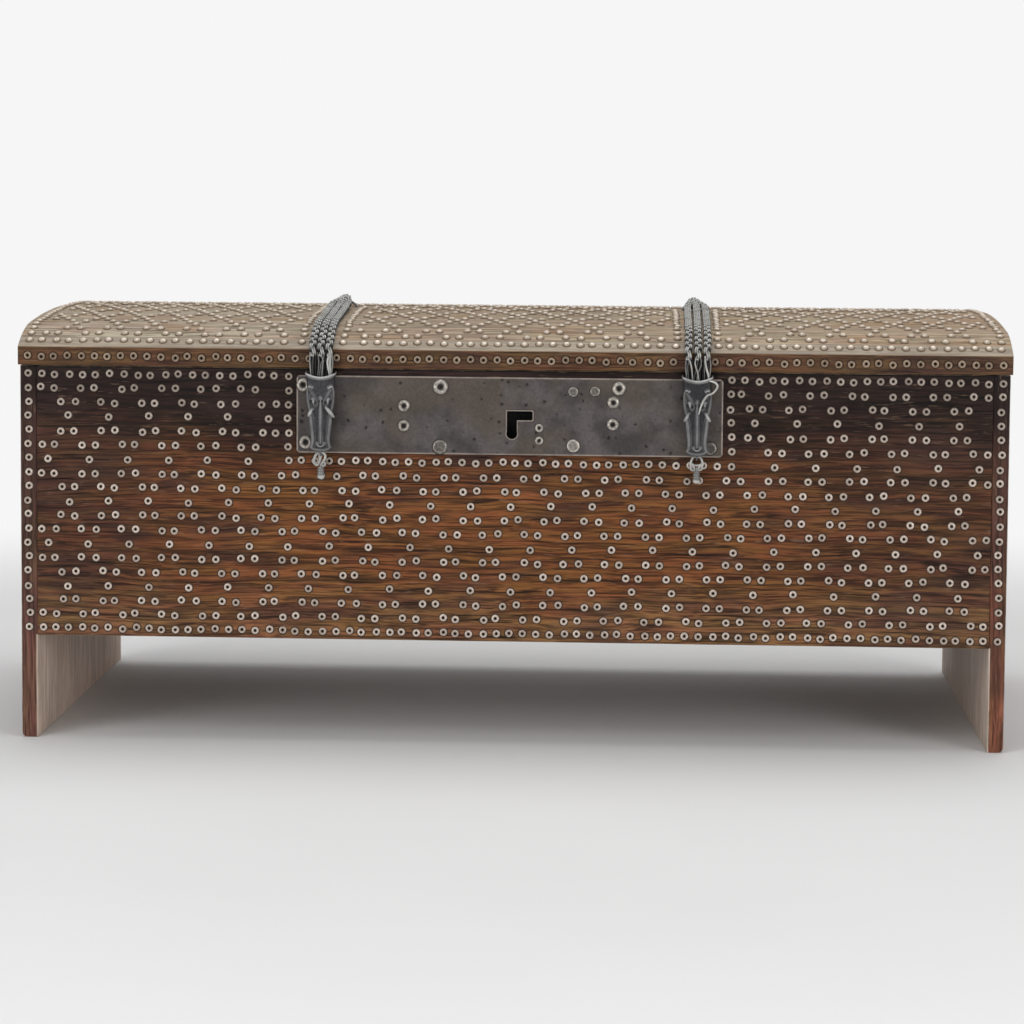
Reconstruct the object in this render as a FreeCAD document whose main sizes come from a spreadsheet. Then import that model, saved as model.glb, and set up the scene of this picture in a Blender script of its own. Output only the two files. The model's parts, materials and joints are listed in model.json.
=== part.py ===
import FreeCAD
import Part

import math
import os
import random

import Sketcher

# Driving dimensions of the chest, in millimetres and degrees. The origin is the middle of the base on the
# floor: X runs to the chest's right as seen from the front, the front faces -Y, and Z is up.
SIZES = {
    # body
    "body_width": 1150,
    "body_depth": 540,
    "body_height": 440,
    "leg_height": 122,
    "front_board_thickness": 19,
    "back_board_thickness": 19,
    "end_board_thickness": 19,
    "floor_board_thickness": 14,
    "cleat_width": 20,
    "cleat_height": 18,
    "foot_round": 6,
    # lid
    "lid_seam": 0.4,
    "lid_end_overhang": 2.5,
    "lid_edge_overhang": 1.5,
    "lid_rail_height": 22,
    "lid_rail_thickness": 19,
    "lid_gable_thickness": 19,
    "lid_board_thickness": 14,
    "crown_radius": 2000,
    "corner_radius": 150,
    "eaves_slope": 34,
    # studs
    "stud_radius": 4.75,
    "stud_height": 2.4,
    "stud_crown_radius": 2.7,
    "stud_dimple_radius": 1.5,
    "stud_dimple_depth": 0.9,
    "stud_jitter": 1.3,
    "stud_border_inset": 9.5,
    "stud_least_spacing": 11.5,
    "front_stud_edge": 9.5,
    "dome_stud_edge": 13,
    "lane_half_width": 24,
    # lock plate and its rivets
    "plate_width": 495.2,
    "plate_height": 90.4,
    "plate_thickness": 1.8,
    "plate_drop": 8.4,
    "plate_offset": -2.4,
    "plate_stud_gap": 9.5,
    "rivet_radius": 8.5,
    "rivet_height": 2.2,
    # keyhole
    "keyhole_offset": -4.9,
    "keyhole_leg_width": 11.7,
    "keyhole_width": 29.9,
    "keyhole_height": 32.7,
    "keyhole_arm_height": 10.7,
    "keyhole_end_radius": 6.4,
    "keyhole_top_drop": 47.6,
    "key_room_radius": 26,
    # mortise for the bolt and the tongues, and the cover over it inside the chest
    "lock_cover_thickness": 2.5,
    "lock_cover_lap": 12,
    "lock_cover_drop": 3,
    "cover_nail_radius": 3,
    "cover_nail_height": 1.2,
    "cover_nail_inset": 6,
    "channel_height": 14,
    "channel_bottom_drop": 92,
    "channel_end_room": 4,
    "tongue_room_half_width": 22,
    "tongue_room_height": 44,
    "tongue_slot_half_width": 4,
    "tongue_slot_bottom_drop": 76,
    # bolt and its guides
    "bolt_thickness": 4,
    "bolt_height": 10,
    "bolt_set_back": 3,
    "bolt_running_gap": 0.3,
    "finger_length": 10,
    "finger_height": 4,
    "finger_gap": 1,
    "finger_arm_width": 6,
    "talon_width": 12,
    "talon_depth": 4,
    "guide_width": 12,
    "guide_wall": 2,
    "guide_place": 110,
    # hasps
    "left_hasp_inset": 29.5,
    "right_hasp_inset": 29.9,
    "strand_radius": 4.9,
    "strand_pitch": 10.1,
    "strand_gap": 0.3,
    "strand_bend_radius": 12,
    "strand_stand_off": 9.5,
    "eye_height": 9,
    "eye_radius": 6,
    "eye_length": 30,
    "crossbar_radius": 3,
    "crossbar_gap": 0.3,
    "staple_leg_place": 17,
    "staple_leg_radius": 1.9,
    "staple_foot_width": 8,
    "staple_foot_length": 20,
    "staple_foot_thickness": 1.5,
    "wire_radius": 1.4,
    "wire_spread": 3,
    "wire_stagger": 2.2,
    "split_drop": 7.5,
    # ferrule
    "rim_drop": 5.6,
    "rim_half_width": 18.5,
    "rim_height": 3,
    "rim_lip": 1.2,
    "cup_half_width": 17.3,
    "cup_depth": 14,
    "cup_height": 20,
    "cup_wall": 2,
    "cup_hollow": 12,
    "cup_corner": 4,
    "leaf_thickness": 9,
    "leaf_set_back": 1,
    "shoulder_drop": 26,
    "neck_drop": 34,
    "lug_drop": 46,
    "lug_half_width": 14,
    "lug_height": 7,
    "shaft_half_width": 12,
    "waist_half_width": 9.5,
    "waist_drop": 78,
    "collar_drop": 84,
    "collar_height": 6,
    "collar_half_width": 12.3,
    "rib_half_width": 1.7,
    "rib_proud": 1.6,
    "tongue_half_width": 2,
    "tongue_height": 16,
    "tongue_reach": 12,
    "tongue_drop": 52,
    "eye_hole": 5.2,
    # link and drop
    "lug_eye_height": 5,
    "lug_eye_half": 2.5,
    "lug_eye_radius": 1.6,
    "link_wire_radius": 1.2,
    "link_height": 12,
    "link_corner": 2.4,
    "left_link_top_half_width": 6.3,
    "right_link_top_half_width": 4.6,
    "link_bottom_half_width": 6.3,
    "drop_ring_radius": 3.2,
    "drop_wire_radius": 0.9,
    "drop_gap": 0.3,
    "drop_radius": 3.4,
    "drop_length": 13,
    "hook_wire_radius": 1.1,
    # hinges
    "hinge_place": 340,
    "hinge_leaf_thickness": 3,
    "knuckle_radius": 5.5,
    "hinge_pin_radius": 2.5,
    "hinge_pin_gap": 0.06,
    "hinge_half_width": 30,
    "hinge_middle_half_width": 10,
    "knuckle_gap": 0.4,
    "pin_head_radius": 3.8,
    "pin_head_length": 2,
    "hinge_strap_length": 110,
    "hinge_strap_end_half_width": 13,
    "hinge_strap_neck": 8,
    "lid_leaf_half_width": 45,
    "lid_leaf_top_edge": 3,
    "hinge_nail_radius": 4.5,
    "hinge_nail_height": 2,
    # one overrun for every cut
    "overrun": 2,
}

# Rivets on the lock plate, as shares of its width from the left and of its height from the bottom, with the
# head's radius as a share of the largest rivet's radius.
RIVET_SHARES = (
    (0.016, 0.877, 0.90),
    (0.022, 0.136, 0.90),
    (0.339, 0.870, 1.00),
    (0.338, 0.095, 1.00),
    (0.253, 0.621, 0.79),
    (0.253, 0.364, 0.79),
    (0.650, 0.824, 0.69),
    (0.701, 0.833, 0.69),
    (0.757, 0.872, 0.90),
    (0.744, 0.691, 0.79),
    (0.743, 0.409, 0.79),
    (0.651, 0.128, 0.90),
    (0.971, 0.116, 0.90),
    (0.571, 0.354, 0.56),
    (0.571, 0.190, 0.56),
)

# The lock cover's nails, as shares of the run between its end nails, along its top and its bottom
COVER_NAIL_SHARES = (0, 0.33, 0.67, 1)

# The stud trellis has this many lozenges along the chest, and this many half lozenges up each face. Each
# lozenge side carries two studs between its corners.
LOZENGES = 24
FRONT_HALF_LOZENGES = 6
DOME_HALF_LOZENGES = 11
STUDS_PER_SIDE = 3
CROWN_BOARDS = 3
STRANDS = 3
WIRES_PER_STRAND = 3
JITTER_SEED = 11


class Size:
    """A length worked out from the sheet: its value now, and its formula there."""

    def __init__(self, value, formula):
        self.value = float(value)
        self.formula = formula

    @staticmethod
    def of(thing):
        return thing if isinstance(thing, Size) else Size(thing, repr(float(thing)))

    def joined(self, sign, other, value):
        return Size(value, f"({self.formula} {sign} {other.formula})")

    def __add__(self, other):
        other = Size.of(other)
        return self.joined("+", other, self.value + other.value)

    def __sub__(self, other):
        other = Size.of(other)
        return self.joined("-", other, self.value - other.value)

    def __mul__(self, other):
        other = Size.of(other)
        return self.joined("*", other, self.value * other.value)

    def __truediv__(self, other):
        other = Size.of(other)
        return self.joined("/", other, self.value / other.value)

    def __neg__(self):
        return Size(-self.value, f"(-{self.formula})")

    def __radd__(self, other):
        return Size.of(other) + self

    def __rsub__(self, other):
        return Size.of(other) - self

    def __rmul__(self, other):
        return Size.of(other) * self

    def __float__(self):
        return self.value


def root(size):
    return Size(math.sqrt(size.value), f"sqrt({size.formula})")


def sine(angle):
    return Size(math.sin(math.radians(angle.value)), f"sin({angle.formula})")


def cosine(angle):
    return Size(math.cos(math.radians(angle.value)), f"cos({angle.formula})")


doc = FreeCAD.newDocument("DowryChest")
sheet = doc.addObject("Spreadsheet::Sheet", "Sizes")
for row, (name, number) in enumerate(SIZES.items(), start=1):
    sheet.set(f"A{row}", name)
    sheet.set(f"B{row}", str(number))
    sheet.setAlias(f"B{row}", name)
doc.recompute()


def size(name):
    """One driving dimension, as the sheet holds it."""
    return Size(sheet.get(name), f"Sizes.{name}")


def bind(thing, path, length):
    """Tie one property of an object to its formula on the sheet."""
    thing.setExpression(path, Size.of(length).formula)


def place(thing, corner):
    for axis, length in zip("xyz", corner):
        bind(thing, f"Placement.Base.{axis}", length)


def named(kind, label):
    thing = doc.addObject(kind, label)
    thing.Label = label
    return thing


def box(label, low, high):
    """A block between two corners."""
    block = named("Part::Box", label)
    for side, first, last in zip(("Length", "Width", "Height"), low, high):
        bind(block, side, last - first)
    place(block, low)
    return block


TURNS = {
    "x": FreeCAD.Rotation(FreeCAD.Vector(0, 1, 0), 90),
    "y": FreeCAD.Rotation(FreeCAD.Vector(1, 0, 0), -90),
    "z": FreeCAD.Rotation(),
}


def rod(label, axis, start, radius, length):
    """A cylinder along X, Y or Z from the centre of its first end."""
    bar = named("Part::Cylinder", label)
    bind(bar, "Radius", radius)
    bind(bar, "Height", length)
    bar.Placement = FreeCAD.Placement(FreeCAD.Vector(), TURNS[axis])
    place(bar, start)
    return bar


def ring(label, axis, centre, large, small):
    """A torus round X, Y or Z."""
    loop = named("Part::Torus", label)
    bind(loop, "Radius1", large)
    bind(loop, "Radius2", small)
    loop.Placement = FreeCAD.Placement(FreeCAD.Vector(), TURNS[axis])
    place(loop, centre)
    return loop


def fuse(label, things):
    joined = named("Part::MultiFuse", label)
    joined.Shapes = things
    return joined


def cut(label, base, tools):
    """Take one tool, or the union of several, out of a base."""
    removed = named("Part::Cut", label)
    removed.Base = base
    removed.Tool = tools[0] if len(tools) == 1 else fuse(f"{label}_tools", tools)
    return removed


PLANES = {"XY": "XY_Plane", "XZ": "XZ_Plane", "YZ": "YZ_Plane"}


def draw(sketch, outline):
    """Draw one closed outline with every corner bound to the sheet.

    Each corner is (u, v), or (u, v, radius, (centre u, centre v)) where an arc about that centre leads to the
    next corner.
    """
    count = len(outline)
    first = sketch.GeometryCount
    starts, ends = [], []
    for n, corner in enumerate(outline):
        following = outline[(n + 1) % count]
        here = FreeCAD.Vector(float(corner[0]), float(corner[1]), 0)
        there = FreeCAD.Vector(float(following[0]), float(following[1]), 0)
        if len(corner) == 2:
            sketch.addGeometry(Part.LineSegment(here, there), False)
            starts.append(1)
            ends.append(2)
            continue
        middle = FreeCAD.Vector(float(corner[3][0]), float(corner[3][1]), 0)
        begin = math.atan2(here.y - middle.y, here.x - middle.x)
        finish = math.atan2(there.y - middle.y, there.x - middle.x)
        forward = (finish - begin) % (2 * math.pi) < math.pi
        circle = Part.Circle(middle, FreeCAD.Vector(0, 0, 1), float(corner[2]))
        angles = (begin, finish) if forward else (finish, begin)
        sketch.addGeometry(Part.ArcOfCircle(circle, *angles), False)
        starts.append(1 if forward else 2)
        ends.append(2 if forward else 1)
    for n, corner in enumerate(outline):
        edge, after = first + n, first + (n + 1) % count
        for kind, length in zip(("DistanceX", "DistanceY"), corner[:2]):
            held = Sketcher.Constraint(kind, -1, 1, edge, starts[n], float(length))
            at = sketch.addConstraint(held)
            bind(sketch, f"Constraints[{at}]", length)
        joint = ("Coincident", edge, ends[n], after, starts[(n + 1) % count])
        sketch.addConstraint(Sketcher.Constraint(*joint))
        if len(corner) > 2:
            at = sketch.addConstraint(Sketcher.Constraint("Radius", edge, float(corner[2])))
            bind(sketch, f"Constraints[{at}]", corner[2])


def draw_circle(sketch, centre, radius):
    middle = FreeCAD.Vector(float(centre[0]), float(centre[1]), 0)
    circle = Part.Circle(middle, FreeCAD.Vector(0, 0, 1), float(radius))
    edge = sketch.addGeometry(circle, False)
    for kind, length in zip(("DistanceX", "DistanceY"), centre):
        at = sketch.addConstraint(Sketcher.Constraint(kind, -1, 1, edge, 3, float(length)))
        bind(sketch, f"Constraints[{at}]", length)
    at = sketch.addConstraint(Sketcher.Constraint("Radius", edge, float(radius)))
    bind(sketch, f"Constraints[{at}]", radius)


class Piece:
    """One sub-part as a body of padded and pocketed sketches on its own origin planes.

    A sketch on XY has its depth along Z, one on YZ along X, and one on XZ along Y.
    """

    def __init__(self, label):
        self.label = label
        self.body = named("PartDesign::Body", label)
        self.count = 0

    def sketch(self, plane, outlines, circles, depth):
        self.count += 1
        drawing = self.body.newObject("Sketcher::SketchObject", f"{self.label}_sketch_{self.count}")
        planes = {item.Role: item for item in self.body.Origin.OriginFeatures}
        drawing.AttachmentSupport = [(planes[PLANES[plane]], "")]
        drawing.MapMode = "FlatFace"
        bind(drawing, "AttachmentOffset.Base.z", -depth if plane == "XZ" else depth)
        for outline in outlines:
            draw(drawing, outline)
        for centre, radius in circles:
            draw_circle(drawing, centre, radius)
        return drawing

    def pad(self, plane, low, high, outlines=(), circles=()):
        """Add the outline's material between two depths."""
        drawing = self.sketch(plane, outlines, circles, high if plane == "XZ" else low)
        added = self.body.newObject("PartDesign::Pad", f"{self.label}_pad_{self.count}")
        added.Profile = drawing
        bind(added, "Length", high - low)
        self.body.Tip = added
        return self

    def pocket(self, plane, low, high, outlines=(), circles=()):
        """Take the outline's material away between two depths."""
        drawing = self.sketch(plane, outlines, circles, low if plane == "XZ" else high)
        doc.recompute()
        before = self.body.Shape.Volume
        taken = self.body.newObject("PartDesign::Pocket", f"{self.label}_pocket_{self.count}")
        taken.Profile = drawing
        bind(taken, "Length", high - low)
        self.body.Tip = taken
        doc.recompute()
        if not self.body.Shape.Volume < before:
            raise SystemExit(f"{taken.Label} cuts nothing")
        return self


def rectangle(low, high):
    """The four corners between two opposite corners."""
    return [(low[0], low[1]), (high[0], low[1]), (high[0], high[1]), (low[0], high[1])]


def soft_rectangle(low, high, radius):
    """A rectangle with round corners."""
    (left, bottom), (right, top) = low, high
    inward = ((right, bottom, -1, 1), (right, top, -1, -1), (left, top, 1, -1), (left, bottom, 1, 1))
    corners = []
    for u, v, across, up in inward:
        centre = (u + across * radius, v + up * radius)
        first, last = (centre[0], v), (u, centre[1])
        if across * up > 0:
            first, last = last, first
        corners += [(*first, radius, centre), last]
    return corners


def feature(label, shape):
    """A sub-part whose shape neither sketches nor primitives make."""
    made = named("Part::Feature", label)
    made.Shape = shape
    made.Placement = FreeCAD.Placement()
    return made


def vector(x, y, z):
    return FreeCAD.Vector(float(x), float(y), float(z))


# Lengths that several pieces share
half_width = size("body_width") / 2
front = -size("body_depth") / 2
back = size("body_depth") / 2
seam = size("body_height")
inner_half_width = half_width - size("end_board_thickness")
front_inside = front + size("front_board_thickness")
back_inside = back - size("back_board_thickness")

SIDES = {"left": -1, "right": 1}
FORWARD = FreeCAD.Vector(0, -1, 0)
BACKWARD = FreeCAD.Vector(0, 1, 0)


def body_boards():
    """The boarded box: two full-depth ends that are also the legs, front, back, floor and cleats."""
    for side, sign in SIDES.items():
        outer, inner = sign * half_width, sign * inner_half_width
        rounding = size("foot_round")
        centre = (outer - sign * rounding, rounding)
        outline = [
            (inner, size("body_height")),
            (inner, Size.of(0)),
            (centre[0], Size.of(0), rounding, centre),
            (outer, rounding),
            (outer, size("body_height")),
        ]
        Piece(f"{side}_end_board").pad("XZ", front, back, [outline])
        near = min(inner, inner - sign * size("cleat_width"), key=float)
        low = (near, front_inside, size("leg_height"))
        high = (near + size("cleat_width"), back_inside, size("leg_height") + size("cleat_height"))
        box(f"{side}_floor_cleat", low, high)
    floor_top = size("leg_height") + size("cleat_height")
    box(
        "floor_board",
        (-inner_half_width, front_inside, floor_top),
        (inner_half_width, back_inside, floor_top + size("floor_board_thickness")),
    )
    box("back_board", (-inner_half_width, back_inside, size("leg_height")), (inner_half_width, back, seam))


# Heights of the lock's parts, measured down from the seam
plate_top = seam - size("plate_drop")
plate_bottom = plate_top - size("plate_height")
plate_left = size("plate_offset") - size("plate_width") / 2
plate_right = size("plate_offset") + size("plate_width") / 2
plate_face = front - size("plate_thickness")
channel_bottom = seam - size("channel_bottom_drop")
slot_bottom = seam - size("tongue_slot_bottom_drop")
hasp_places = {
    "left": plate_left + size("left_hasp_inset"),
    "right": plate_right - size("right_hasp_inset"),
}
channel_left = hasp_places["left"] - size("tongue_room_half_width") - size("channel_end_room")
channel_right = hasp_places["right"] + size("tongue_room_half_width") + size("channel_end_room")

key_top = seam - size("keyhole_top_drop")
key_left = size("keyhole_offset")
key_middle = key_left + size("keyhole_width") / 2
key_height = key_top - size("keyhole_height") / 2


def front_board():
    """The front board, mortised through behind the lock plate for the bolt, the tongues and the key."""
    blank = box(
        "front_board_blank",
        (-inner_half_width, front, size("leg_height")),
        (inner_half_width, front_inside, seam),
    )
    outside, inside = front - size("overrun"), front_inside + size("overrun")
    tools = [
        box(
            "bolt_channel",
            (channel_left, outside, channel_bottom),
            (channel_right, inside, channel_bottom + size("channel_height")),
        ),
        rod(
            "key_room",
            "y",
            (key_middle, outside, key_height),
            size("key_room_radius"),
            inside - outside,
        ),
    ]
    for side, middle in hasp_places.items():
        room, slot = size("tongue_room_half_width"), size("tongue_slot_half_width")
        room_top = channel_bottom + size("tongue_room_height")
        tools += [
            box(
                f"{side}_tongue_room",
                (middle - room, outside, channel_bottom),
                (middle + room, inside, room_top),
            ),
            box(
                f"{side}_tongue_slot",
                (middle - slot, outside, slot_bottom),
                (middle + slot, inside, seam + size("overrun")),
            ),
        ]
    cut("front_board", blank, tools)


# The dome's section: a wide crown arc between two corner arcs that meet the rails at the eaves
lid_half = size("body_depth") / 2 + size("lid_edge_overhang")
lid_bottom = seam + size("lid_seam")
eaves = seam + size("lid_rail_height")
crown, corner = size("crown_radius"), size("corner_radius")
board = size("lid_board_thickness")
corner_place = lid_half - corner * sine(size("eaves_slope"))
corner_height = eaves - corner * cosine(size("eaves_slope"))
crown_sine = corner_place / (crown - corner)
crown_cosine = root(1 - crown_sine * crown_sine)
crown_height = corner_height - (crown - corner) * crown_cosine
crest = crown_height + crown
rail_inside = lid_half - size("lid_rail_thickness")
lid_end = half_width + size("lid_end_overhang")


def corner_at(place_y, radius):
    """Height of a corner arc of this radius over a place across the lid."""
    return corner_height + root(radius * radius - (place_y - corner_place) * (place_y - corner_place))


def crown_at(share, radius):
    """(place, height) on a crown arc, at a share of its half width."""
    sine_here = crown_sine * share
    return radius * sine_here, crown_height + radius * root(1 - sine_here * sine_here)


def lid_boards():
    """The domed lid: rails, eaves boards, crown boards and the gables that carry them."""
    inside = crown - board, corner - board
    for name, sign in (("front", -1), ("back", 1)):
        centre = (sign * corner_place, corner_height)
        joint, joint_height = crown_at(1, crown)
        under, under_height = crown_at(1, inside[0])
        top = corner_at(rail_inside, corner)
        rail = [
            (sign * lid_half, lid_bottom),
            (sign * lid_half, eaves, corner, centre),
            (sign * rail_inside, top),
            (sign * rail_inside, lid_bottom),
        ]
        Piece(f"lid_{name}_rail").pad("YZ", -lid_end, lid_end, [rail])
        eaves_board = [
            (sign * rail_inside, top, corner, centre),
            (sign * joint, joint_height),
            (sign * under, under_height, inside[1], centre),
            (sign * rail_inside, corner_at(rail_inside, inside[1])),
        ]
        Piece(f"lid_{name}_eaves_board").pad("YZ", -lid_end, lid_end, [eaves_board])
    crown_centre = (Size.of(0), crown_height)
    for number in range(CROWN_BOARDS):
        first, last = (2 * (number + step) / CROWN_BOARDS - 1 for step in (0, 1))
        outline = [
            (*crown_at(first, crown), crown, crown_centre),
            crown_at(last, crown),
            (*crown_at(last, inside[0]), inside[0], crown_centre),
            crown_at(first, inside[0]),
        ]
        Piece(f"lid_crown_board_{number + 1}").pad("YZ", -lid_end, lid_end, [outline])
    under, under_height = crown_at(1, inside[0])
    shoulder = corner_at(rail_inside, inside[1])
    gable = [
        (-rail_inside, lid_bottom),
        (rail_inside, lid_bottom),
        (rail_inside, shoulder, inside[1], (corner_place, corner_height)),
        (under, under_height, inside[0], crown_centre),
        (-under, under_height, inside[1], (-corner_place, corner_height)),
        (-rail_inside, shoulder),
    ]
    thickness = size("lid_gable_thickness")
    Piece("lid_left_gable").pad("YZ", -lid_end, -lid_end + thickness, [gable])
    Piece("lid_right_gable").pad("YZ", lid_end - thickness, lid_end, [gable])


def lock():
    """The lock plate with its keyhole and tongue slots, the sliding bolt and its two guides."""
    slot = size("tongue_slot_half_width")
    outline = [(plate_left, plate_bottom), (plate_right, plate_bottom), (plate_right, plate_top)]
    for side in ("right", "left"):
        middle = hasp_places[side]
        outline += [
            (middle + slot, plate_top),
            (middle + slot, slot_bottom),
            (middle - slot, slot_bottom),
            (middle - slot, plate_top),
        ]
    outline.append((plate_left, plate_top))
    leg, end = size("keyhole_leg_width"), size("keyhole_end_radius")
    leg_middle = key_left + leg / 2
    end_height = root(end * end - leg * leg / 4)
    end_centre = key_top - size("keyhole_height") + end
    keyhole = [
        (key_left, key_top),
        (key_left, end_centre - end_height, end, (leg_middle, end_centre)),
        (key_left + leg, end_centre - end_height),
        (key_left + leg, key_top - size("keyhole_arm_height")),
        (key_left + size("keyhole_width"), key_top - size("keyhole_arm_height")),
        (key_left + size("keyhole_width"), key_top),
    ]
    Piece("lock_plate").pad("XZ", plate_face, front, [outline, keyhole])

    # The bolt lies at the bottom of its channel's running gap, with a finger beside each hasp's tongue
    low = channel_bottom + size("guide_wall")
    high = low + size("bolt_height")
    finger_middle = seam - size("rim_drop") - size("tongue_drop")
    finger_low = finger_middle - size("finger_height") / 2
    finger_high = finger_middle + size("finger_height") / 2
    near = -size("tongue_half_width") - size("finger_gap")
    arm = near - size("finger_length")
    left_end = hasp_places["left"] + arm - size("finger_arm_width")
    right_end = hasp_places["right"] + arm
    talon = size("talon_width") / 2
    outline = [(left_end, low), (right_end, low)]
    outline += [
        (right_end, finger_low),
        (right_end + size("finger_length"), finger_low),
        (right_end + size("finger_length"), finger_high),
        (right_end - size("finger_arm_width"), finger_high),
        (right_end - size("finger_arm_width"), high),
        (key_middle + talon, high),
        (key_middle + talon, high - size("talon_depth")),
        (key_middle - talon, high - size("talon_depth")),
        (key_middle - talon, high),
        (left_end + size("finger_arm_width"), high),
        (left_end + size("finger_arm_width"), finger_low),
        (left_end + size("finger_arm_width") + size("finger_length"), finger_low),
        (left_end + size("finger_arm_width") + size("finger_length"), finger_high),
        (left_end, finger_high),
    ]
    bolt_front = front + size("bolt_set_back")
    bolt_back = bolt_front + size("bolt_thickness")
    Piece("lock_bolt").pad("XZ", bolt_front, bolt_back, [outline])

    gap = size("bolt_running_gap")
    for side, sign in SIDES.items():
        middle = key_middle + sign * size("guide_place")
        half = size("guide_width") / 2
        block = box(
            f"{side}_guide_block",
            (middle - half, front, channel_bottom),
            (middle + half, bolt_back + gap + size("guide_wall"), channel_bottom + size("channel_height")),
        )
        way = box(
            f"{side}_guide_way",
            (middle - half - size("overrun"), bolt_front - gap, low - gap),
            (middle + half + size("overrun"), bolt_back + gap, high + gap),
        )
        cut(f"{side}_bolt_guide", block, [way])


def head(radius, height, crown_radius, dimple_radius, dimple_depth):
    """A nail head standing on XY: a sloped ring round a dimple."""
    profile = [
        (0, 0),
        (radius, 0),
        (crown_radius, height),
        (dimple_radius, height),
        (0, height - dimple_depth),
        (0, 0),
    ]
    corners = [FreeCAD.Vector(float(out), 0, float(up)) for out, up in profile]
    face = Part.Face(Part.makePolygon(corners))
    return face.revolve(FreeCAD.Vector(), FreeCAD.Vector(0, 0, 1), 360)


def stud_shape(radius, height):
    """A stud's head, spread to a radius."""
    spread = radius / size("stud_radius")
    return head(
        radius,
        height,
        spread * size("stud_crown_radius"),
        spread * size("stud_dimple_radius"),
        size("stud_dimple_depth"),
    )


def standing(shape, spots):
    """Copies of a head, each at (place, outward direction), as one group of separate solids."""
    copies = []
    for spot, outward in spots:
        copy = shape.copy()
        copy.Placement = FreeCAD.Placement(spot, FreeCAD.Rotation(FreeCAD.Vector(0, 0, 1), outward))
        copies.append(copy)
    return Part.makeCompound(copies)


def rivets():
    """The rivets and nails that hold the lock plate, of several sizes."""
    heads = []
    for along, up, share in RIVET_SHARES:
        shape = stud_shape(size("rivet_radius") * share, size("rivet_height"))
        spot = vector(
            plate_left + size("plate_width") * along,
            plate_face,
            plate_bottom + size("plate_height") * up,
        )
        heads += standing(shape, [(spot, FORWARD)]).Solids
    feature("lock_plate_rivets", Part.makeCompound(heads))


def lock_cover():
    """The thin iron sheet that is nailed over the lock's mortise inside the chest."""
    lap, thickness = size("lock_cover_lap"), size("lock_cover_thickness")
    low = (channel_left - lap, front_inside, channel_bottom - lap)
    high = (channel_right + lap, front_inside + thickness, seam - size("lock_cover_drop"))
    box("lock_cover", low, high)
    inset = size("cover_nail_inset")
    run = high[0] - low[0] - 2 * inset
    spots = []
    for share in COVER_NAIL_SHARES:
        for height in (low[2] + inset, high[2] - inset):
            spots.append((vector(low[0] + inset + run * share, high[1], height), BACKWARD))
    nail = stud_shape(size("cover_nail_radius"), size("cover_nail_height"))
    feature("lock_cover_nails", standing(nail, spots))


class StudField:
    """Stud places on one face of the chest, in its own (along, up) lengths."""

    def __init__(self, seed):
        self.jitter = random.Random(seed)
        self.border = []
        self.field = []

    def shaken(self, along, up):
        """A place moved a little, as nails driven by hand are."""
        reach = float(size("stud_jitter"))
        return along + self.jitter.uniform(-reach, reach), up + self.jitter.uniform(-reach, reach)

    def clear(self, spot):
        least = float(size("stud_least_spacing"))
        return all(math.dist(spot, other) >= least for other in self.border)

    def line(self, first, last, steps):
        """A border row or column of evenly spaced studs."""
        for step in range(steps + 1):
            share = step / steps
            along = first[0] + share * (last[0] - first[0])
            up = first[1] + share * (last[1] - first[1])
            spot = self.shaken(along, up)
            if self.clear(spot):
                self.border.append(spot)

    def trellis(self, left, bottom, pitch, half_lozenge, rows, allowed):
        """Studs along the sides of the lozenges, between the border studs."""
        third = half_lozenge / STUDS_PER_SIDE
        for row in range(1, rows * STUDS_PER_SIDE):
            whole, part = divmod(row, STUDS_PER_SIDE)
            shift = part * pitch / (2 * STUDS_PER_SIDE)
            for column in range(-1, LOZENGES + 1):
                middle = left + (column + (whole + 1) % 2 / 2) * pitch
                for along in {middle - shift, middle + shift}:
                    spot = self.shaken(along, bottom + row * third)
                    inside = left < spot[0] < left + LOZENGES * pitch
                    if inside and allowed(spot) and self.clear(spot):
                        self.field.append(spot)


def front_studs():
    """The border rows, the rows round the lock plate, and the trellis on the front."""
    left = float(-half_width + size("stud_border_inset"))
    pitch = -2 * left / LOZENGES
    bottom = float(size("leg_height") + size("front_stud_edge"))
    top = float(seam - size("front_stud_edge"))
    half_lozenge = (top - bottom) / FRONT_HALF_LOZENGES
    steps = LOZENGES * STUDS_PER_SIDE
    gap = float(size("plate_stud_gap"))
    plate = [float(plate_left) - gap, float(plate_right) + gap, float(plate_bottom) - gap]
    studs = StudField(JITTER_SEED)
    studs.line((left, bottom), (-left, bottom), steps)
    column = FRONT_HALF_LOZENGES * STUDS_PER_SIDE
    for end in (left, -left):
        studs.line((end, bottom), (end, top), column)
    spacing = pitch / STUDS_PER_SIDE
    for end, near in ((left, plate[0]), (-left, plate[1])):
        studs.line((near, top), (end, top), round(abs(end - near) / spacing))
        studs.line((near, top), (near, plate[2]), round((top - plate[2]) / spacing))
    studs.line((plate[0], plate[2]), (plate[1], plate[2]), round((plate[1] - plate[0]) / spacing))

    def beside_plate(spot):
        return not (plate[0] < spot[0] < plate[1] and spot[1] > plate[2])

    studs.trellis(left, bottom, pitch, half_lozenge, FRONT_HALF_LOZENGES, beside_plate)
    stud = stud_shape(size("stud_radius"), size("stud_height"))
    for name, spots in (("border", studs.border), ("field", studs.field)):
        stands = [(vector(along, front, up), FORWARD) for along, up in spots]
        feature(f"front_{name}_studs", standing(stud, stands))

    rail = StudField(JITTER_SEED + 1)
    middle = float(lid_bottom + eaves) / 2
    rail.line((left, middle), (-left, middle), steps)
    stands = [(vector(along, -lid_half, up), FORWARD) for along, up in rail.border]
    feature("lid_rail_studs", standing(stud, stands))


def dome_lengths():
    """(corner arc's length, half the crown arc's length) over the lid."""
    slope = math.radians(float(size("eaves_slope")))
    flat = math.asin(float(crown_sine))
    return float(corner) * (slope - flat), float(crown) * flat


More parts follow.
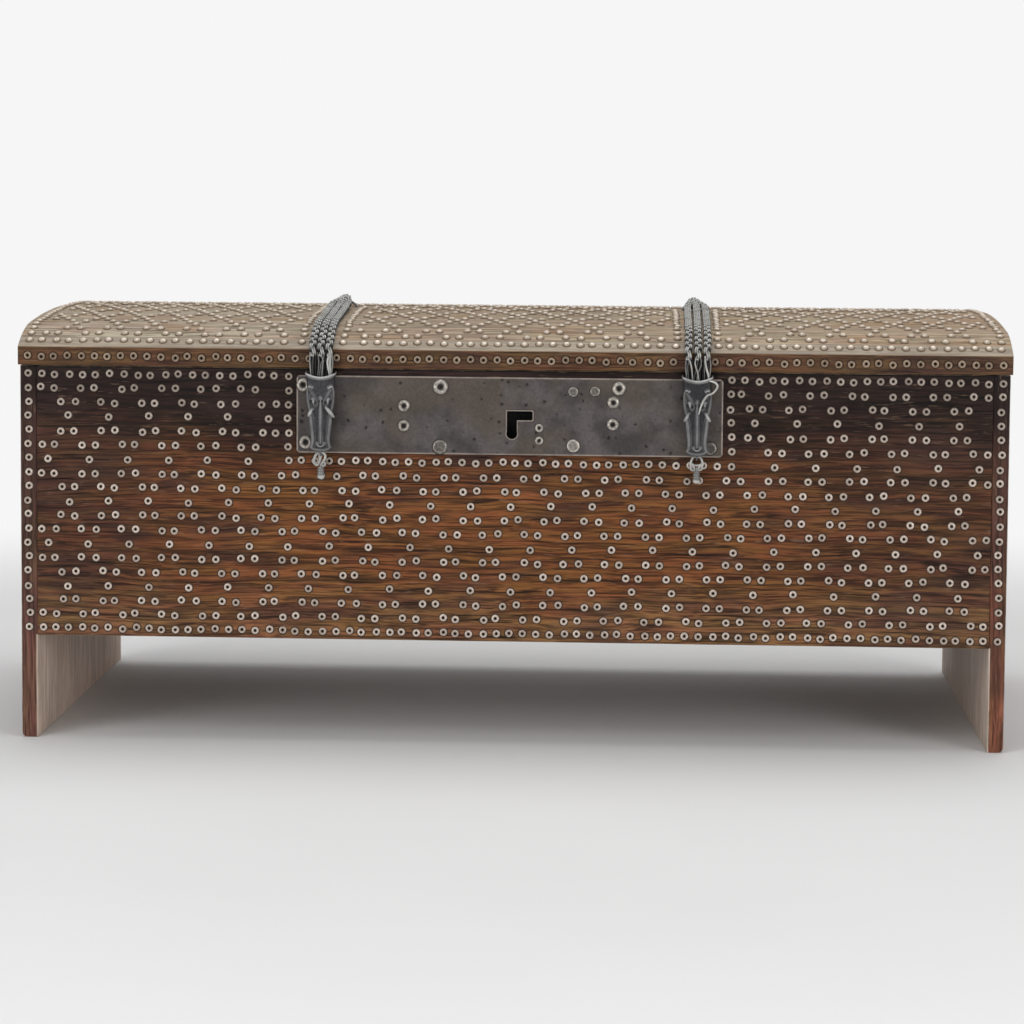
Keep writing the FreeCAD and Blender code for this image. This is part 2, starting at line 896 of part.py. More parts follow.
def on_dome(along, around):
    """A place on the dome and its outward direction, from a length measured round from the front eaves."""
    corner_length, half_crown = dome_lengths()
    middle = corner_length + half_crown
    side = 1 if around > middle else -1
    out = abs(around - middle)
    if out <= half_crown:
        angle = out / float(crown)
        centre, radius = (0, float(crown_height)), float(crown)
    else:
        angle = half_crown / float(crown) + (out - half_crown) / float(corner)
        centre, radius = (side * float(corner_place), float(corner_height)), float(corner)
    outward = FreeCAD.Vector(0, side * math.sin(angle), math.cos(angle))
    return FreeCAD.Vector(along, centre[0], centre[1]) + outward * radius, outward


def dome_studs():
    """The border rows, the columns beside each hasp's lane, and the trellis on the dome."""
    left = float(-half_width + size("stud_border_inset"))
    pitch = -2 * left / LOZENGES
    corner_length, half_crown = dome_lengths()
    bottom = float(size("dome_stud_edge"))
    top = 2 * (corner_length + half_crown) - bottom
    half_lozenge = (top - bottom) / DOME_HALF_LOZENGES
    steps = LOZENGES * STUDS_PER_SIDE
    column = DOME_HALF_LOZENGES * STUDS_PER_SIDE
    lane = float(size("lane_half_width"))
    lanes = [float(middle) for middle in hasp_places.values()]
    keep_off = size("stud_radius") + size("stud_jitter") + size("strand_gap")
    crest_place = corner_length + half_crown
    foot_reach = float(size("staple_foot_length") / 2 + keep_off)
    foot_side = float(size("staple_leg_place") + size("staple_foot_width") / 2 + keep_off)
    lane_end = crest_place - foot_reach
    third = half_lozenge / STUDS_PER_SIDE

    def off_hasps(spot):
        """Whether a place is clear of the hasps' lanes and of the staples' feet at their ends."""
        clear_of = lane if spot[1] < lane_end else foot_side
        past = spot[1] > crest_place + foot_reach
        return past or all(abs(spot[0] - middle) > clear_of for middle in lanes)

    studs = StudField(JITTER_SEED + 2)
    for middle in lanes:
        for side in (-1, 1):
            along = middle + side * lane
            studs.line((along, bottom), (along, lane_end), round((lane_end - bottom) / third))
    beside_lanes = len(studs.border)
    for end in (left, -left):
        studs.line((end, bottom), (end, top), column)
    for around in (bottom, top):
        studs.line((left, around), (-left, around), steps)
    studs.border[beside_lanes:] = [spot for spot in studs.border[beside_lanes:] if off_hasps(spot)]
    studs.trellis(left, bottom, pitch, half_lozenge, DOME_HALF_LOZENGES, off_hasps)
    stud = stud_shape(size("stud_radius"), size("stud_height"))
    for name, spots in (("border", studs.border), ("field", studs.field)):
        feature(f"lid_{name}_studs", standing(stud, [on_dome(*spot) for spot in spots]))


def tube(path, radius):
    """A round tube along lines and tangent arcs in one plane."""
    wire = Part.Wire(path)
    start = wire.Edges[0]
    direction = start.tangentAt(start.FirstParameter)
    section = Part.Wire(Part.makeCircle(radius, start.valueAt(start.FirstParameter), direction))
    return wire.makePipeShell([section], True, False)


def turn_arc(centre, radius, first, last, place_x):
    """An arc in a plane across the chest; angles are measured from straight up towards the front."""

    def at(angle):
        return vector(place_x, centre[0] - radius * math.sin(angle), centre[1] + radius * math.cos(angle))

    return Part.Arc(at(first), at((first + last) / 2), at(last)).toShape(), at(first), at(last)


# Places along a hasp: the line it hangs on, its eye, where its wires part and end, and the ferrule's rim
strap_line = -lid_half - size("strand_stand_off")
rim_top = seam - size("rim_drop")
eye_middle = crest + size("eye_height")
wire_top = eaves - size("split_drop")
cup_floor = rim_top - size("cup_hollow")
wire_foot = cup_floor + size("strand_gap")


def strand_path(place_x):
    """From the crest eye over the dome, round the eaves and down to where the wires part."""
    gap = float(size("strand_gap") + size("strand_radius"))
    crown_arc, corner_arc = float(crown) + gap, float(corner) + gap
    bend = float(size("strand_bend_radius"))
    rise = float(eye_middle - crown_height)
    start = (-float(size("eye_radius")), float(eye_middle))
    reach = math.hypot(start[0], rise)
    leave = math.acos(crown_arc / reach) + math.asin(-start[0] / reach)
    flat = math.asin(float(crown_sine))
    place_y = float(strap_line)
    bend_sine = (-float(corner_place) - bend - place_y) / (corner_arc - bend)
    bend_angle = math.asin(bend_sine)
    bend_centre = (
        -float(corner_place) - (corner_arc - bend) * bend_sine,
        float(corner_height) + (corner_arc - bend) * math.cos(bend_angle),
    )
    corner_centre = (-float(corner_place), float(corner_height))
    over, first, _ = turn_arc((0, float(crown_height)), crown_arc, leave, flat, place_x)
    round_corner, _, _ = turn_arc(corner_centre, corner_arc, flat, bend_angle, place_x)
    drop, _, last = turn_arc(bend_centre, bend, bend_angle, math.pi / 2, place_x)
    taut = Part.LineSegment(vector(place_x, *start), first).toShape()
    fall = Part.LineSegment(last, vector(place_x, place_y, wire_top)).toShape()
    return [taut, over, round_corner, drop, fall]


def hasp(side):
    """One hasp: crest staple, eye, three wire cords, loose wires, ferrule, link and drop."""
    middle = hasp_places[side]
    leg, foot = size("staple_leg_radius"), size("staple_foot_width") / 2
    foot_top = crest + size("staple_foot_thickness")
    bar_end = size("staple_leg_place") + leg
    pieces = [
        rod(
            f"{side}_crossbar",
            "x",
            (middle - bar_end, Size.of(0), eye_middle),
            size("crossbar_radius"),
            2 * bar_end,
        )
    ]
    for end, sign in SIDES.items():
        post = middle + sign * size("staple_leg_place")
        pieces += [
            rod(f"{side}_staple_{end}_leg", "z", (post, Size.of(0), crest), leg, eye_middle - crest),
            box(
                f"{side}_staple_{end}_foot",
                (post - foot, -size("staple_foot_length") / 2, crest),
                (post + foot, size("staple_foot_length") / 2, foot_top),
            ),
        ]
    fuse(f"{side}_crest_staple", pieces)

    long, past = size("eye_length"), size("overrun")
    barrel_end = middle - long / 2
    barrel = rod(
        f"{side}_eye_barrel",
        "x",
        (barrel_end, Size.of(0), eye_middle),
        size("eye_radius"),
        long,
    )
    bore = rod(
        f"{side}_eye_bore",
        "x",
        (barrel_end - past, Size.of(0), eye_middle),
        size("crossbar_radius") + size("crossbar_gap"),
        long + 2 * past,
    )
    cut(f"{side}_hasp_eye", barrel, [bore])

    wires = []
    wire = float(size("wire_radius")), float(wire_top - wire_foot)
    for strand in range(STRANDS):
        place_x = float(middle + (strand - (STRANDS - 1) / 2) * size("strand_pitch"))
        feature(f"{side}_wire_cord_{strand + 1}", tube(strand_path(place_x), float(size("strand_radius"))))
        for number in range(WIRES_PER_STRAND):
            shift = number - (WIRES_PER_STRAND - 1) / 2
            stagger = size("wire_stagger") * (1 if number % 2 else -1)
            foot_place = place_x + shift * size("wire_spread")
            wires.append(Part.makeCylinder(*wire, vector(foot_place, strap_line + stagger, wire_foot)))
    feature(f"{side}_loose_wires", Part.makeCompound(wires))
    ferrule(side)
    link_and_drop(side)


def ferrule(side):
    """The cast end of a hasp: a cup for the wires, a ribbed leaf with side lugs, a collar and the tongue."""
    middle = hasp_places[side]
    cup_front = strap_line - size("cup_depth") / 2
    cup_back = strap_line + size("cup_depth") / 2
    leaf_back = cup_back - size("leaf_set_back")
    leaf_front = leaf_back - size("leaf_thickness")

    def down(name):
        return rim_top - size(name)

    lug_top = down("lug_drop") + size("lug_height")
    collar_bottom = down("collar_drop") - size("collar_height")
    widths = (
        ("cup_half_width", down("shoulder_drop")),
        ("shaft_half_width", down("neck_drop")),
        ("shaft_half_width", lug_top),
        ("lug_half_width", down("lug_drop")),
        ("shaft_half_width", down("lug_drop") - size("lug_height") / 2),
        ("waist_half_width", down("waist_drop")),
        ("collar_half_width", down("collar_drop")),
        ("collar_half_width", collar_bottom),
    )
    cup_bottom = down("cup_height")
    right = [(middle + size(name), height) for name, height in widths]
    left = [(middle - size(name), height) for name, height in reversed(widths)]
    top = [(middle - size("cup_half_width"), cup_bottom), (middle + size("cup_half_width"), cup_bottom)]
    radius = size("cup_corner")

    def section(half, low, high):
        return [soft_rectangle((middle - half, low), (middle + half, high), radius)]

    lip, wall = size("rim_lip"), size("cup_wall")
    hollow = size("cup_half_width") - wall
    tongue = size("tongue_half_width")
    tongue_middle = down("tongue_drop")
    tongue_low = tongue_middle - size("tongue_height") / 2
    tongue_end = front + size("tongue_reach")
    finger_back = front + size("bolt_set_back") + size("bolt_thickness") / 2
    hole = size("eye_hole") / 2
    piece = Piece(f"{side}_ferrule")
    piece.pad("XZ", leaf_front, leaf_back, [top + right + left])
    piece.pad("XY", cup_bottom - wall, rim_top, section(size("cup_half_width"), cup_front, cup_back))
    piece.pad(
        "XY",
        rim_top - size("rim_height"),
        rim_top,
        section(size("rim_half_width"), cup_front - lip, cup_back),
    )
    piece.pad(
        "XZ",
        leaf_front - size("rib_proud"),
        leaf_front,
        [
            rectangle(
                (middle - size("rib_half_width"), down("collar_drop")),
                (middle + size("rib_half_width"), down("shoulder_drop")),
            )
        ],
    )
    piece.pad(
        "XY",
        collar_bottom,
        down("collar_drop"),
        section(size("collar_half_width"), leaf_front - size("rib_proud"), leaf_back),
    )
    piece.pad(
        "YZ",
        middle - tongue,
        middle + tongue,
        [rectangle((leaf_back, tongue_low), (tongue_end, tongue_low + size("tongue_height")))],
    )
    piece.pad(
        "YZ",
        middle - size("lug_eye_half"),
        middle + size("lug_eye_half"),
        [
            rectangle(
                (strap_line - size("lug_eye_half"), collar_bottom - size("lug_eye_height")),
                (strap_line + size("lug_eye_half"), collar_bottom),
            )
        ],
    )
    piece.pocket("XY", cup_floor, rim_top, section(hollow, cup_front + wall, cup_back - wall))
    piece.pocket(
        "YZ",
        middle - tongue,
        middle + tongue,
        [rectangle((finger_back - hole, tongue_middle - hole), (finger_back + hole, tongue_middle + hole))],
    )
    piece.pocket(
        "YZ",
        middle - size("lug_eye_half"),
        middle + size("lug_eye_half"),
        circles=[((strap_line, collar_bottom - size("lug_eye_height") / 2), size("lug_eye_radius"))],
    )


def link_and_drop(side):
    """A wire link through the ferrule's lug, and the drop that swings on its lower bar."""
    middle = float(hasp_places[side])
    place_y = float(strap_line)
    collar_bottom = rim_top - size("collar_drop") - size("collar_height")
    top = collar_bottom - size("lug_eye_height") / 2 - size("drop_gap")
    bottom = top - size("link_height")
    upper, lower = size(f"{side}_link_top_half_width"), size("link_bottom_half_width")
    route = [
        vector(middle, place_y, top),
        vector(middle + upper, place_y, top),
        vector(middle + lower, place_y, bottom),
        vector(middle - lower, place_y, bottom),
        vector(middle - upper, place_y, top),
        vector(middle, place_y, top),
    ]
    path = rounded(route, float(size("link_corner")))
    feature(f"{side}_link", tube(path, float(size("link_wire_radius"))))

    ring_radius, ring_wire = size("drop_ring_radius"), size("drop_wire_radius")
    slack = ring_radius - ring_wire - size("link_wire_radius") - size("drop_gap")
    ring_height = bottom - slack
    tip_top = ring_height - ring_radius
    length = size("drop_length")
    centre = hasp_places[side], strap_line
    loop = ring(f"{side}_drop_ring", "x", (*centre, ring_height), ring_radius, ring_wire)
    waist = named("Part::Cone", f"{side}_drop_upper")
    bind(waist, "Radius1", size("drop_radius"))
    bind(waist, "Radius2", ring_wire)
    bind(waist, "Height", length / 2)
    place(waist, (*centre, tip_top - length / 2))
    point = named("Part::Cone", f"{side}_drop_lower")
    bind(point, "Radius1", ring_wire)
    bind(point, "Radius2", size("drop_radius"))
    bind(point, "Height", length / 2)
    place(point, (*centre, tip_top - length))
    fuse(f"{side}_drop", [loop, waist, point])


def rounded(route, radius):
    """Edges along a route of straight runs, with a tangent arc of one radius at each turn."""
    edges, last = [], route[0]
    for before, here, after in zip(route, route[1:], route[2:]):
        into, out = (here - before).normalize(), (after - here).normalize()
        half_turn = into.getAngle(out) / 2
        back_off = radius * math.tan(half_turn)
        begin, end = here - into * back_off, here + out * back_off
        middle = here + (out - into).normalize() * (radius / math.cos(half_turn) - radius)
        edges.append(Part.LineSegment(last, begin).toShape())
        edges.append(Part.Arc(begin, middle, end).toShape())
        last = end
    edges.append(Part.LineSegment(last, route[-1]).toShape())
    return edges


# The bent wire on the right ferrule, as shares of the cup's half width from its middle and of the
# ferrule's height down from the rim
HOOK_SHARES = (
    (0.92, 0.03),
    (1.28, 0.08),
    (1.12, 0.17),
    (0.72, 0.22),
    (0.40, 0.33),
    (0.18, 0.46),
)
HOOK_TURN_SHARE = 0.12


def wire_hook():
    """A bent wire that lies over the front of the right ferrule."""
    radius = size("hook_wire_radius")
    place_y = strap_line - size("cup_depth") / 2 - size("rim_lip") - radius - size("drop_gap")
    half = size("cup_half_width")
    tall = size("collar_drop")
    route = [
        vector(hasp_places["right"] + half * across, place_y, rim_top - tall * down)
        for across, down in HOOK_SHARES
    ]
    path = rounded(route, float(half) * HOOK_TURN_SHARE)
    feature("right_wire_hook", tube(path, float(radius)))


# The hinge nails, as shares of the body leaf's strap from its foot and of the lid leaf's half width
BODY_NAIL_SHARES = (0.12, 0.5, 0.85)
LID_NAIL_SHARES = (-0.8, -0.4, 0.4, 0.8)


def hinges():
    """Two iron hinges across the back seam, each with a body leaf, a lid leaf and a pin."""
    knuckle = size("knuckle_radius")
    axis = (lid_half + knuckle, seam + size("lid_seam") / 2)
    bore = size("hinge_pin_radius") + size("hinge_pin_gap")
    leaf_back = back + size("hinge_leaf_thickness")
    lid_leaf_back = lid_half + size("hinge_leaf_thickness")
    body_nails, lid_nails = [], []
    for side, sign in SIDES.items():
        middle = sign * size("hinge_place")
        wide, near = size("hinge_half_width"), size("hinge_middle_half_width")
        inner = near + size("knuckle_gap")
        neck = seam - size("hinge_strap_neck")
        foot = seam - size("hinge_strap_length")
        tip = size("hinge_strap_end_half_width")
        outline = [
            (middle - tip, foot),
            (middle + tip, foot),
            (middle + wide, neck),
            (middle + wide, seam),
            (middle + inner, seam),
            (middle + inner, neck),
            (middle - inner, neck),
            (middle - inner, seam),
            (middle - wide, seam),
            (middle - wide, neck),
        ]
        body_leaf = Piece(f"{side}_hinge_body_leaf").pad("XZ", back, leaf_back, [outline])
        body_leaf.pad("YZ", middle - wide, middle - inner, circles=[(axis, knuckle)])
        body_leaf.pad("YZ", middle + inner, middle + wide, circles=[(axis, knuckle)])
        body_leaf.pocket("YZ", middle - wide, middle + wide, circles=[(axis, bore)])
        broad = size("lid_leaf_half_width")
        shoulder = axis[1] + knuckle + size("knuckle_gap")
        top = eaves - size("lid_leaf_top_edge")
        outline = [
            (middle - near, lid_bottom),
            (middle + near, lid_bottom),
            (middle + near, shoulder),
            (middle + broad, shoulder),
            (middle + broad, top),
            (middle - broad, top),
            (middle - broad, shoulder),
            (middle - near, shoulder),
        ]
        lid_leaf = Piece(f"{side}_hinge_lid_leaf").pad("XZ", lid_half, lid_leaf_back, [outline])
        lid_leaf.pad("YZ", middle - near, middle + near, circles=[(axis, knuckle)])
        lid_leaf.pocket("YZ", middle - near, middle + near, circles=[(axis, bore)])
        shank = wide + size("knuckle_gap")
        ends = size("pin_head_radius"), size("pin_head_length")
        fuse(
            f"{side}_hinge_pin",
            [
                rod(f"{side}_pin_shank", "x", (middle - shank, *axis), size("hinge_pin_radius"), 2 * shank),
                rod(f"{side}_pin_left_head", "x", (middle - shank - ends[1], *axis), *ends),
                rod(f"{side}_pin_right_head", "x", (middle + shank, *axis), *ends),
            ],
        )
        drop = neck - foot
        for share in BODY_NAIL_SHARES:
            body_nails.append((vector(middle, leaf_back, foot + drop * share), BACKWARD))
        for share in LID_NAIL_SHARES:
            spot = vector(middle + broad * share, lid_leaf_back, (shoulder + top) / 2)
            lid_nails.append((spot, BACKWARD))
    nail = stud_shape(size("hinge_nail_radius"), size("hinge_nail_height"))
    feature("body_hinge_nails", standing(nail, body_nails))
    feature("lid_hinge_nails", standing(nail, lid_nails))


# Kinds that may be a sub-part or a step towards one, and kinds that are always a sub-part
SCAFFOLD = ("Part::Box", "Part::Cylinder", "Part::Torus", "Part::Cone", "Part::Cut", "Part::MultiFuse")
PIECE_KINDS = ("PartDesign::Body", "Part::Feature")


def check_document():
    """Stop if any object failed or any sub-part has no sound shape."""
    for thing in doc.Objects:
        if {"Invalid", "Error"} & set(thing.State):
            raise SystemExit(f"{thing.Label} failed: {thing.State}")


def sub_parts():
    """The finished sub-parts: bodies, set shapes, and primitives that no other object uses."""
    for thing in doc.Objects:
        whole = thing.TypeId in PIECE_KINDS
        alone = thing.TypeId in SCAFFOLD and not any(user.TypeId in SCAFFOLD for user in thing.InList)
        if whole or alone:
            yield thing


def write_parts():
    os.makedirs("parts", exist_ok=True)
    for thing in sub_parts():
        if thing.Shape.isNull() or not thing.Shape.isValid() or not thing.Shape.Solids:
            raise SystemExit(f"{thing.Label} has no sound shape")
        thing.Shape.exportStep(f"parts/{thing.Label}.step")


body_boards()
front_board()
lid_boards()
lock()
lock_cover()
rivets()
front_studs()
dome_studs()
hasp("left")
hasp("right")
wire_hook()
hinges()
doc.recompute()
check_document()
write_parts()
for piece in sub_parts():
    print(f"{piece.Label}: {len(piece.Shape.Solids)} solids, {piece.Shape.Volume:.0f} mm3")
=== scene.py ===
import json
import logging
import math
from dataclasses import dataclass
from enum import Enum
from random import Random
from typing import Callable, Iterable, Sequence

import bmesh
import bpy
import numpy as np
from bmesh.types import BMEdge, BMesh, BMVert
from bpy.types import ID, Material, Mesh, Node, NodeSocket, NodeTree, Object
from mathutils import Matrix, Vector, noise
from mathutils.kdtree import KDTree


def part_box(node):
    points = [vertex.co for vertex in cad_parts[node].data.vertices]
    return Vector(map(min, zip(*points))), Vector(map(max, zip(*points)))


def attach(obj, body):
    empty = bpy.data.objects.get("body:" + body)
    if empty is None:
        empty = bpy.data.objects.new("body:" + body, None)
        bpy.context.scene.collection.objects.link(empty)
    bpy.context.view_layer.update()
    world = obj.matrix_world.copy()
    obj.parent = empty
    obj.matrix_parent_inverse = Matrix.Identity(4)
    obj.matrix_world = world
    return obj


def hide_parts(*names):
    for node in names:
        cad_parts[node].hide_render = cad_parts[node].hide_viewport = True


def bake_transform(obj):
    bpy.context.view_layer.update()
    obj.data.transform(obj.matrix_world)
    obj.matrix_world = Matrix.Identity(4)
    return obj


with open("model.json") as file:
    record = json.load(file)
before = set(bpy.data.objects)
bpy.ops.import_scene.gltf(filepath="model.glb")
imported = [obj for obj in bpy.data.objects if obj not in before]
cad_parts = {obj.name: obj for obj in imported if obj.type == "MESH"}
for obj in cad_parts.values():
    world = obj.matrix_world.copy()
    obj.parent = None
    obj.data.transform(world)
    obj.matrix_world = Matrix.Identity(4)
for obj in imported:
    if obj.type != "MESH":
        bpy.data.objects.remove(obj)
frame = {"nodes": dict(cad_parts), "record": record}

log = logging.getLogger("chest")
MM = 0.001
CLOSE = 1e-6
Colour = tuple[float, float, float, float]
Spot = tuple[float, float, float]
Points = Sequence[Spot]
Value = NodeSocket | float | Sequence[float]
SIDES = {"left": -1, "right": 1}


class Axis(Enum):
    """One axis of the chest: X along it, Y from front to back, Z up."""

    X = 0
    Y = 1
    Z = 2


def rgb(red: float, green: float, blue: float) -> Colour:
    """Turn a colour in screen steps of 0 to 255 into the shader's own scale.

    Args:
        red: its red step.
        green: its green step.
        blue: its blue step.

    Returns:
        The colour, opaque.
    """

    def channel(step: float) -> float:
        """One colour channel."""
        share = step / 255
        return share / 12.92 if share <= 0.04045 else ((share + 0.055) / 1.055) ** 2.4

    return channel(red), channel(green), channel(blue), 1.0


class Net:
    """Adds and joins the nodes of one shader tree."""

    def __init__(self, tree: NodeTree) -> None:
        """Work on this tree."""
        self.tree = tree

    def add(self, kind: str, inputs: dict | None = None, **settings) -> Node:
        """Add one node.

        Args:
            kind: the node's type name.
            inputs: values or sockets by input name or number.
            settings: the node's own settings.

        Returns:
            The new node.
        """
        node = self.tree.nodes.new(kind)
        for key, value in settings.items():
            setattr(node, key, value)
        self.fill(node, inputs or {})
        return node

    def fill(self, node: Node, inputs: dict[str | int, Value]) -> None:
        """Set inputs of a node to values, or join other sockets to them.

        Args:
            node: the node.
            inputs: values or sockets by input name or number.
        """
        for key, value in inputs.items():
            if isinstance(value, NodeSocket):
                self.tree.links.new(value, node.inputs[key])
            else:
                node.inputs[key].default_value = value

    def math(self, operation: str, *values: Value) -> NodeSocket:
        """A sum or other operation on plain values."""
        return self.add("ShaderNodeMath", dict(enumerate(values)), operation=operation).outputs[0]

    def vector(self, operation: str, *values: Value) -> NodeSocket:
        """An operation on vectors or colours."""
        return self.add("ShaderNodeVectorMath", dict(enumerate(values)), operation=operation).outputs[0]

    def scale(self, vector: Value, value: Value) -> NodeSocket:
        """A vector or colour times a value."""
        if not isinstance(vector, NodeSocket):
            vector = vector[:3]
        return self.add("ShaderNodeVectorMath", {0: vector, "Scale": value}, operation="SCALE").outputs[0]

    def mix(self, factor: Value, first: Value, second: Value) -> NodeSocket:
        """A colour between two colours."""
        sockets = {0: factor, 6: first, 7: second}
        return self.add("ShaderNodeMix", sockets, data_type="RGBA").outputs[2]

    def noise(self, vector: Value, scale: float, detail: float = 2, rough: float = 0.5) -> NodeSocket:
        """Soft noise, about 0.5 on average."""
        sockets = {"Vector": vector, "Scale": scale, "Detail": detail, "Roughness": rough}
        return self.add("ShaderNodeTexNoise", sockets).outputs[0]

    def between(
        self, value: Value, low: float, high: float, first: float = 0, last: float = 1
    ) -> NodeSocket:
        """A smooth step from first to last as the value goes from low to high."""
        sockets = {0: value, 1: low, 2: high, 3: first, 4: last}
        return self.add("ShaderNodeMapRange", sockets, interpolation_type="SMOOTHSTEP").outputs[0]

    def place(self) -> NodeSocket:
        """The place on the object, in metres."""
        return self.add("ShaderNodeTexCoord").outputs["Object"]

    def attribute(self, name: str) -> NodeSocket:
        """A value painted on the mesh."""
        return self.add("ShaderNodeAttribute", attribute_name=name).outputs["Fac"]

    def bump(self, height: Value, strength: float, distance: float) -> NodeSocket:
        """Normals bent by a height."""
        sockets = {"Height": height, "Strength": strength, "Distance": distance}
        return self.add("ShaderNodeBump", sockets).outputs[0]


class Effect:
    """A shader effect that several finishes share, built once as a node group."""

    name = "effect"
    gives: tuple[str, ...] = ()

    def build(self, net: Net, place: NodeSocket) -> tuple:
        """Make the effect's nodes and return one socket for each name in gives."""
        raise NotImplementedError

    def use(self, net: Net, place: NodeSocket) -> dict[str, NodeSocket]:
        """Add the effect to a tree.

        Args:
            net: the tree's net.
            place: the place that the effect is read at.

        Returns:
            The effect's output sockets by name.
        """
        tree = bpy.data.node_groups.get(self.name)
        if tree is None:
            tree = bpy.data.node_groups.new(self.name, "ShaderNodeTree")
            tree.interface.new_socket(name="Place", in_out="INPUT", socket_type="NodeSocketVector")
            for name in self.gives:
                tree.interface.new_socket(name=name, in_out="OUTPUT", socket_type="NodeSocketFloat")
            inner = Net(tree)
            entry = inner.add("NodeGroupInput")
            made = self.build(inner, entry.outputs["Place"])
            inner.add("NodeGroupOutput", dict(zip(self.gives, made)))
        node = net.add("ShaderNodeGroup", node_tree=tree)
        net.fill(node, {"Place": place})
        return {name: node.outputs[name] for name in self.gives}


class Grain(Effect):
    """Wood fibres along X, with dark streaks and lines, patches, scuffs and a drifting hue."""

    name = "grain"
    gives = ("Fibre", "Streak", "Patch", "Scuff", "Line", "Hue")

    def build(self, net: Net, place: NodeSocket) -> tuple:
        """Make the grain's nodes.

        Args:
            net: the group's net.
            place: the place, with X along the fibres.

        Returns:
            One socket for each name in gives.
        """
        broad = net.vector("MULTIPLY", place, (5, 12, 12))
        sway = net.add("ShaderNodeTexNoise", {"Vector": broad, "Scale": 1.0}).outputs["Color"]
        bent = net.vector("MULTIPLY", net.vector("SUBTRACT", sway, (0.5, 0.5, 0.5)), (0, 0.02, 0.02))
        place = net.vector("ADD", place, bent)

        def stretched(along: float, across: float, detail: float) -> NodeSocket:
            """Noise drawn out along the fibres."""
            return net.noise(net.vector("MULTIPLY", place, (along, across, across)), 1.0, detail, 0.6)

        coarse, fine = stretched(8, 250, 3), stretched(26, 760, 2)
        fibre = net.math("MULTIPLY_ADD", coarse, 0.62, net.math("MULTIPLY", fine, 0.38))
        fibre = net.between(fibre, 0.4, 0.6)
        streak = net.between(stretched(14, 330, 2), 0.55, 0.68)
        patch = net.between(stretched(7, 22, 3), 0.48, 0.64)
        scuff = net.between(stretched(40, 420, 3), 0.6, 0.72)
        line = net.between(stretched(5, 330, 1), 0.59, 0.67)
        hue = net.between(stretched(9, 70, 2), 0.36, 0.64)
        return fibre, streak, patch, scuff, line, hue


class Corrosion(Effect):
    """Clouds, fine mottling and small pits, as on old iron."""

    name = "corrosion"
    gives = ("Cloud", "Mottle", "Pit")

    def build(self, net: Net, place: NodeSocket) -> tuple:
        """Make the corrosion's nodes.

        Args:
            net: the group's net.
            place: the place on the iron.

        Returns:
            One socket for each name in gives.
        """
        cloud = net.between(net.noise(place, 26, 4, 0.6), 0.36, 0.64)
        mottle = net.noise(place, 330, 4, 0.65)
        cells = net.add("ShaderNodeTexVoronoi", {"Vector": place, "Scale": 95.0})
        some = net.add("ShaderNodeSeparateColor", {0: cells.outputs["Color"]}).outputs[0]
        ragged = net.math("ADD", cells.outputs["Distance"], net.math("MULTIPLY", mottle, 0.3))
        pit = net.math("MULTIPLY", net.between(ragged, 0.26, 0.42, 1, 0), net.between(some, 0.42, 0.62))
        return cloud, mottle, pit


class Rubbing(Effect):
    """Breaks up the pale marks of wear and painted light, so that they come and go along an arris."""

    name = "rubbing"
    gives = ("Broken",)

    def build(self, net: Net, place: NodeSocket) -> tuple:
        """Make the rubbing's nodes."""
        return (net.between(net.noise(place, 45, 4, 0.7), 0.38, 0.58, 0.25, 1),)


def new_material(name: str) -> tuple[Material, Net, Node]:
    """Start a material.

    Args:
        name: the material's name.

    Returns:
        The material, a net on its tree, and its surface node.
    """
    material = bpy.data.materials.new(name)
    material.use_nodes = True
    return material, Net(material.node_tree), material.node_tree.nodes["Principled BSDF"]


@dataclass(frozen=True)
class Fade:
    """A change of the wood's colour between two places along one axis, up to the height top.

    One over less than the length sharp keeps its place; a longer one drifts with the grain.
    """

    axis: Axis
    start: float
    end: float
    colour: Colour
    strength: float = 1.0
    top: float = 9.0
    top_blend: float = 2 * MM
    sharp: float = 10 * MM

    def reach(self, net: Net, apart: Sequence, drift: NodeSocket) -> NodeSocket:
        """How far the change has gone.

        Args:
            net: the material's net.
            apart: the place's three parts.
            drift: makes a gradual change uneven.

        Returns:
            A value from 0 to the strength.
        """
        at = apart[self.axis.value]
        if abs(self.end - self.start) >= self.sharp:
            at = net.math("ADD", at, drift)
        if self.start < self.end:
            gone = net.between(at, self.start, self.end, 0, self.strength)
        else:
            gone = net.between(at, self.end, self.start, self.strength, 0)
        return net.math("MULTIPLY", gone, net.between(apart[2], self.top, self.top + self.top_blend, 1, 0))


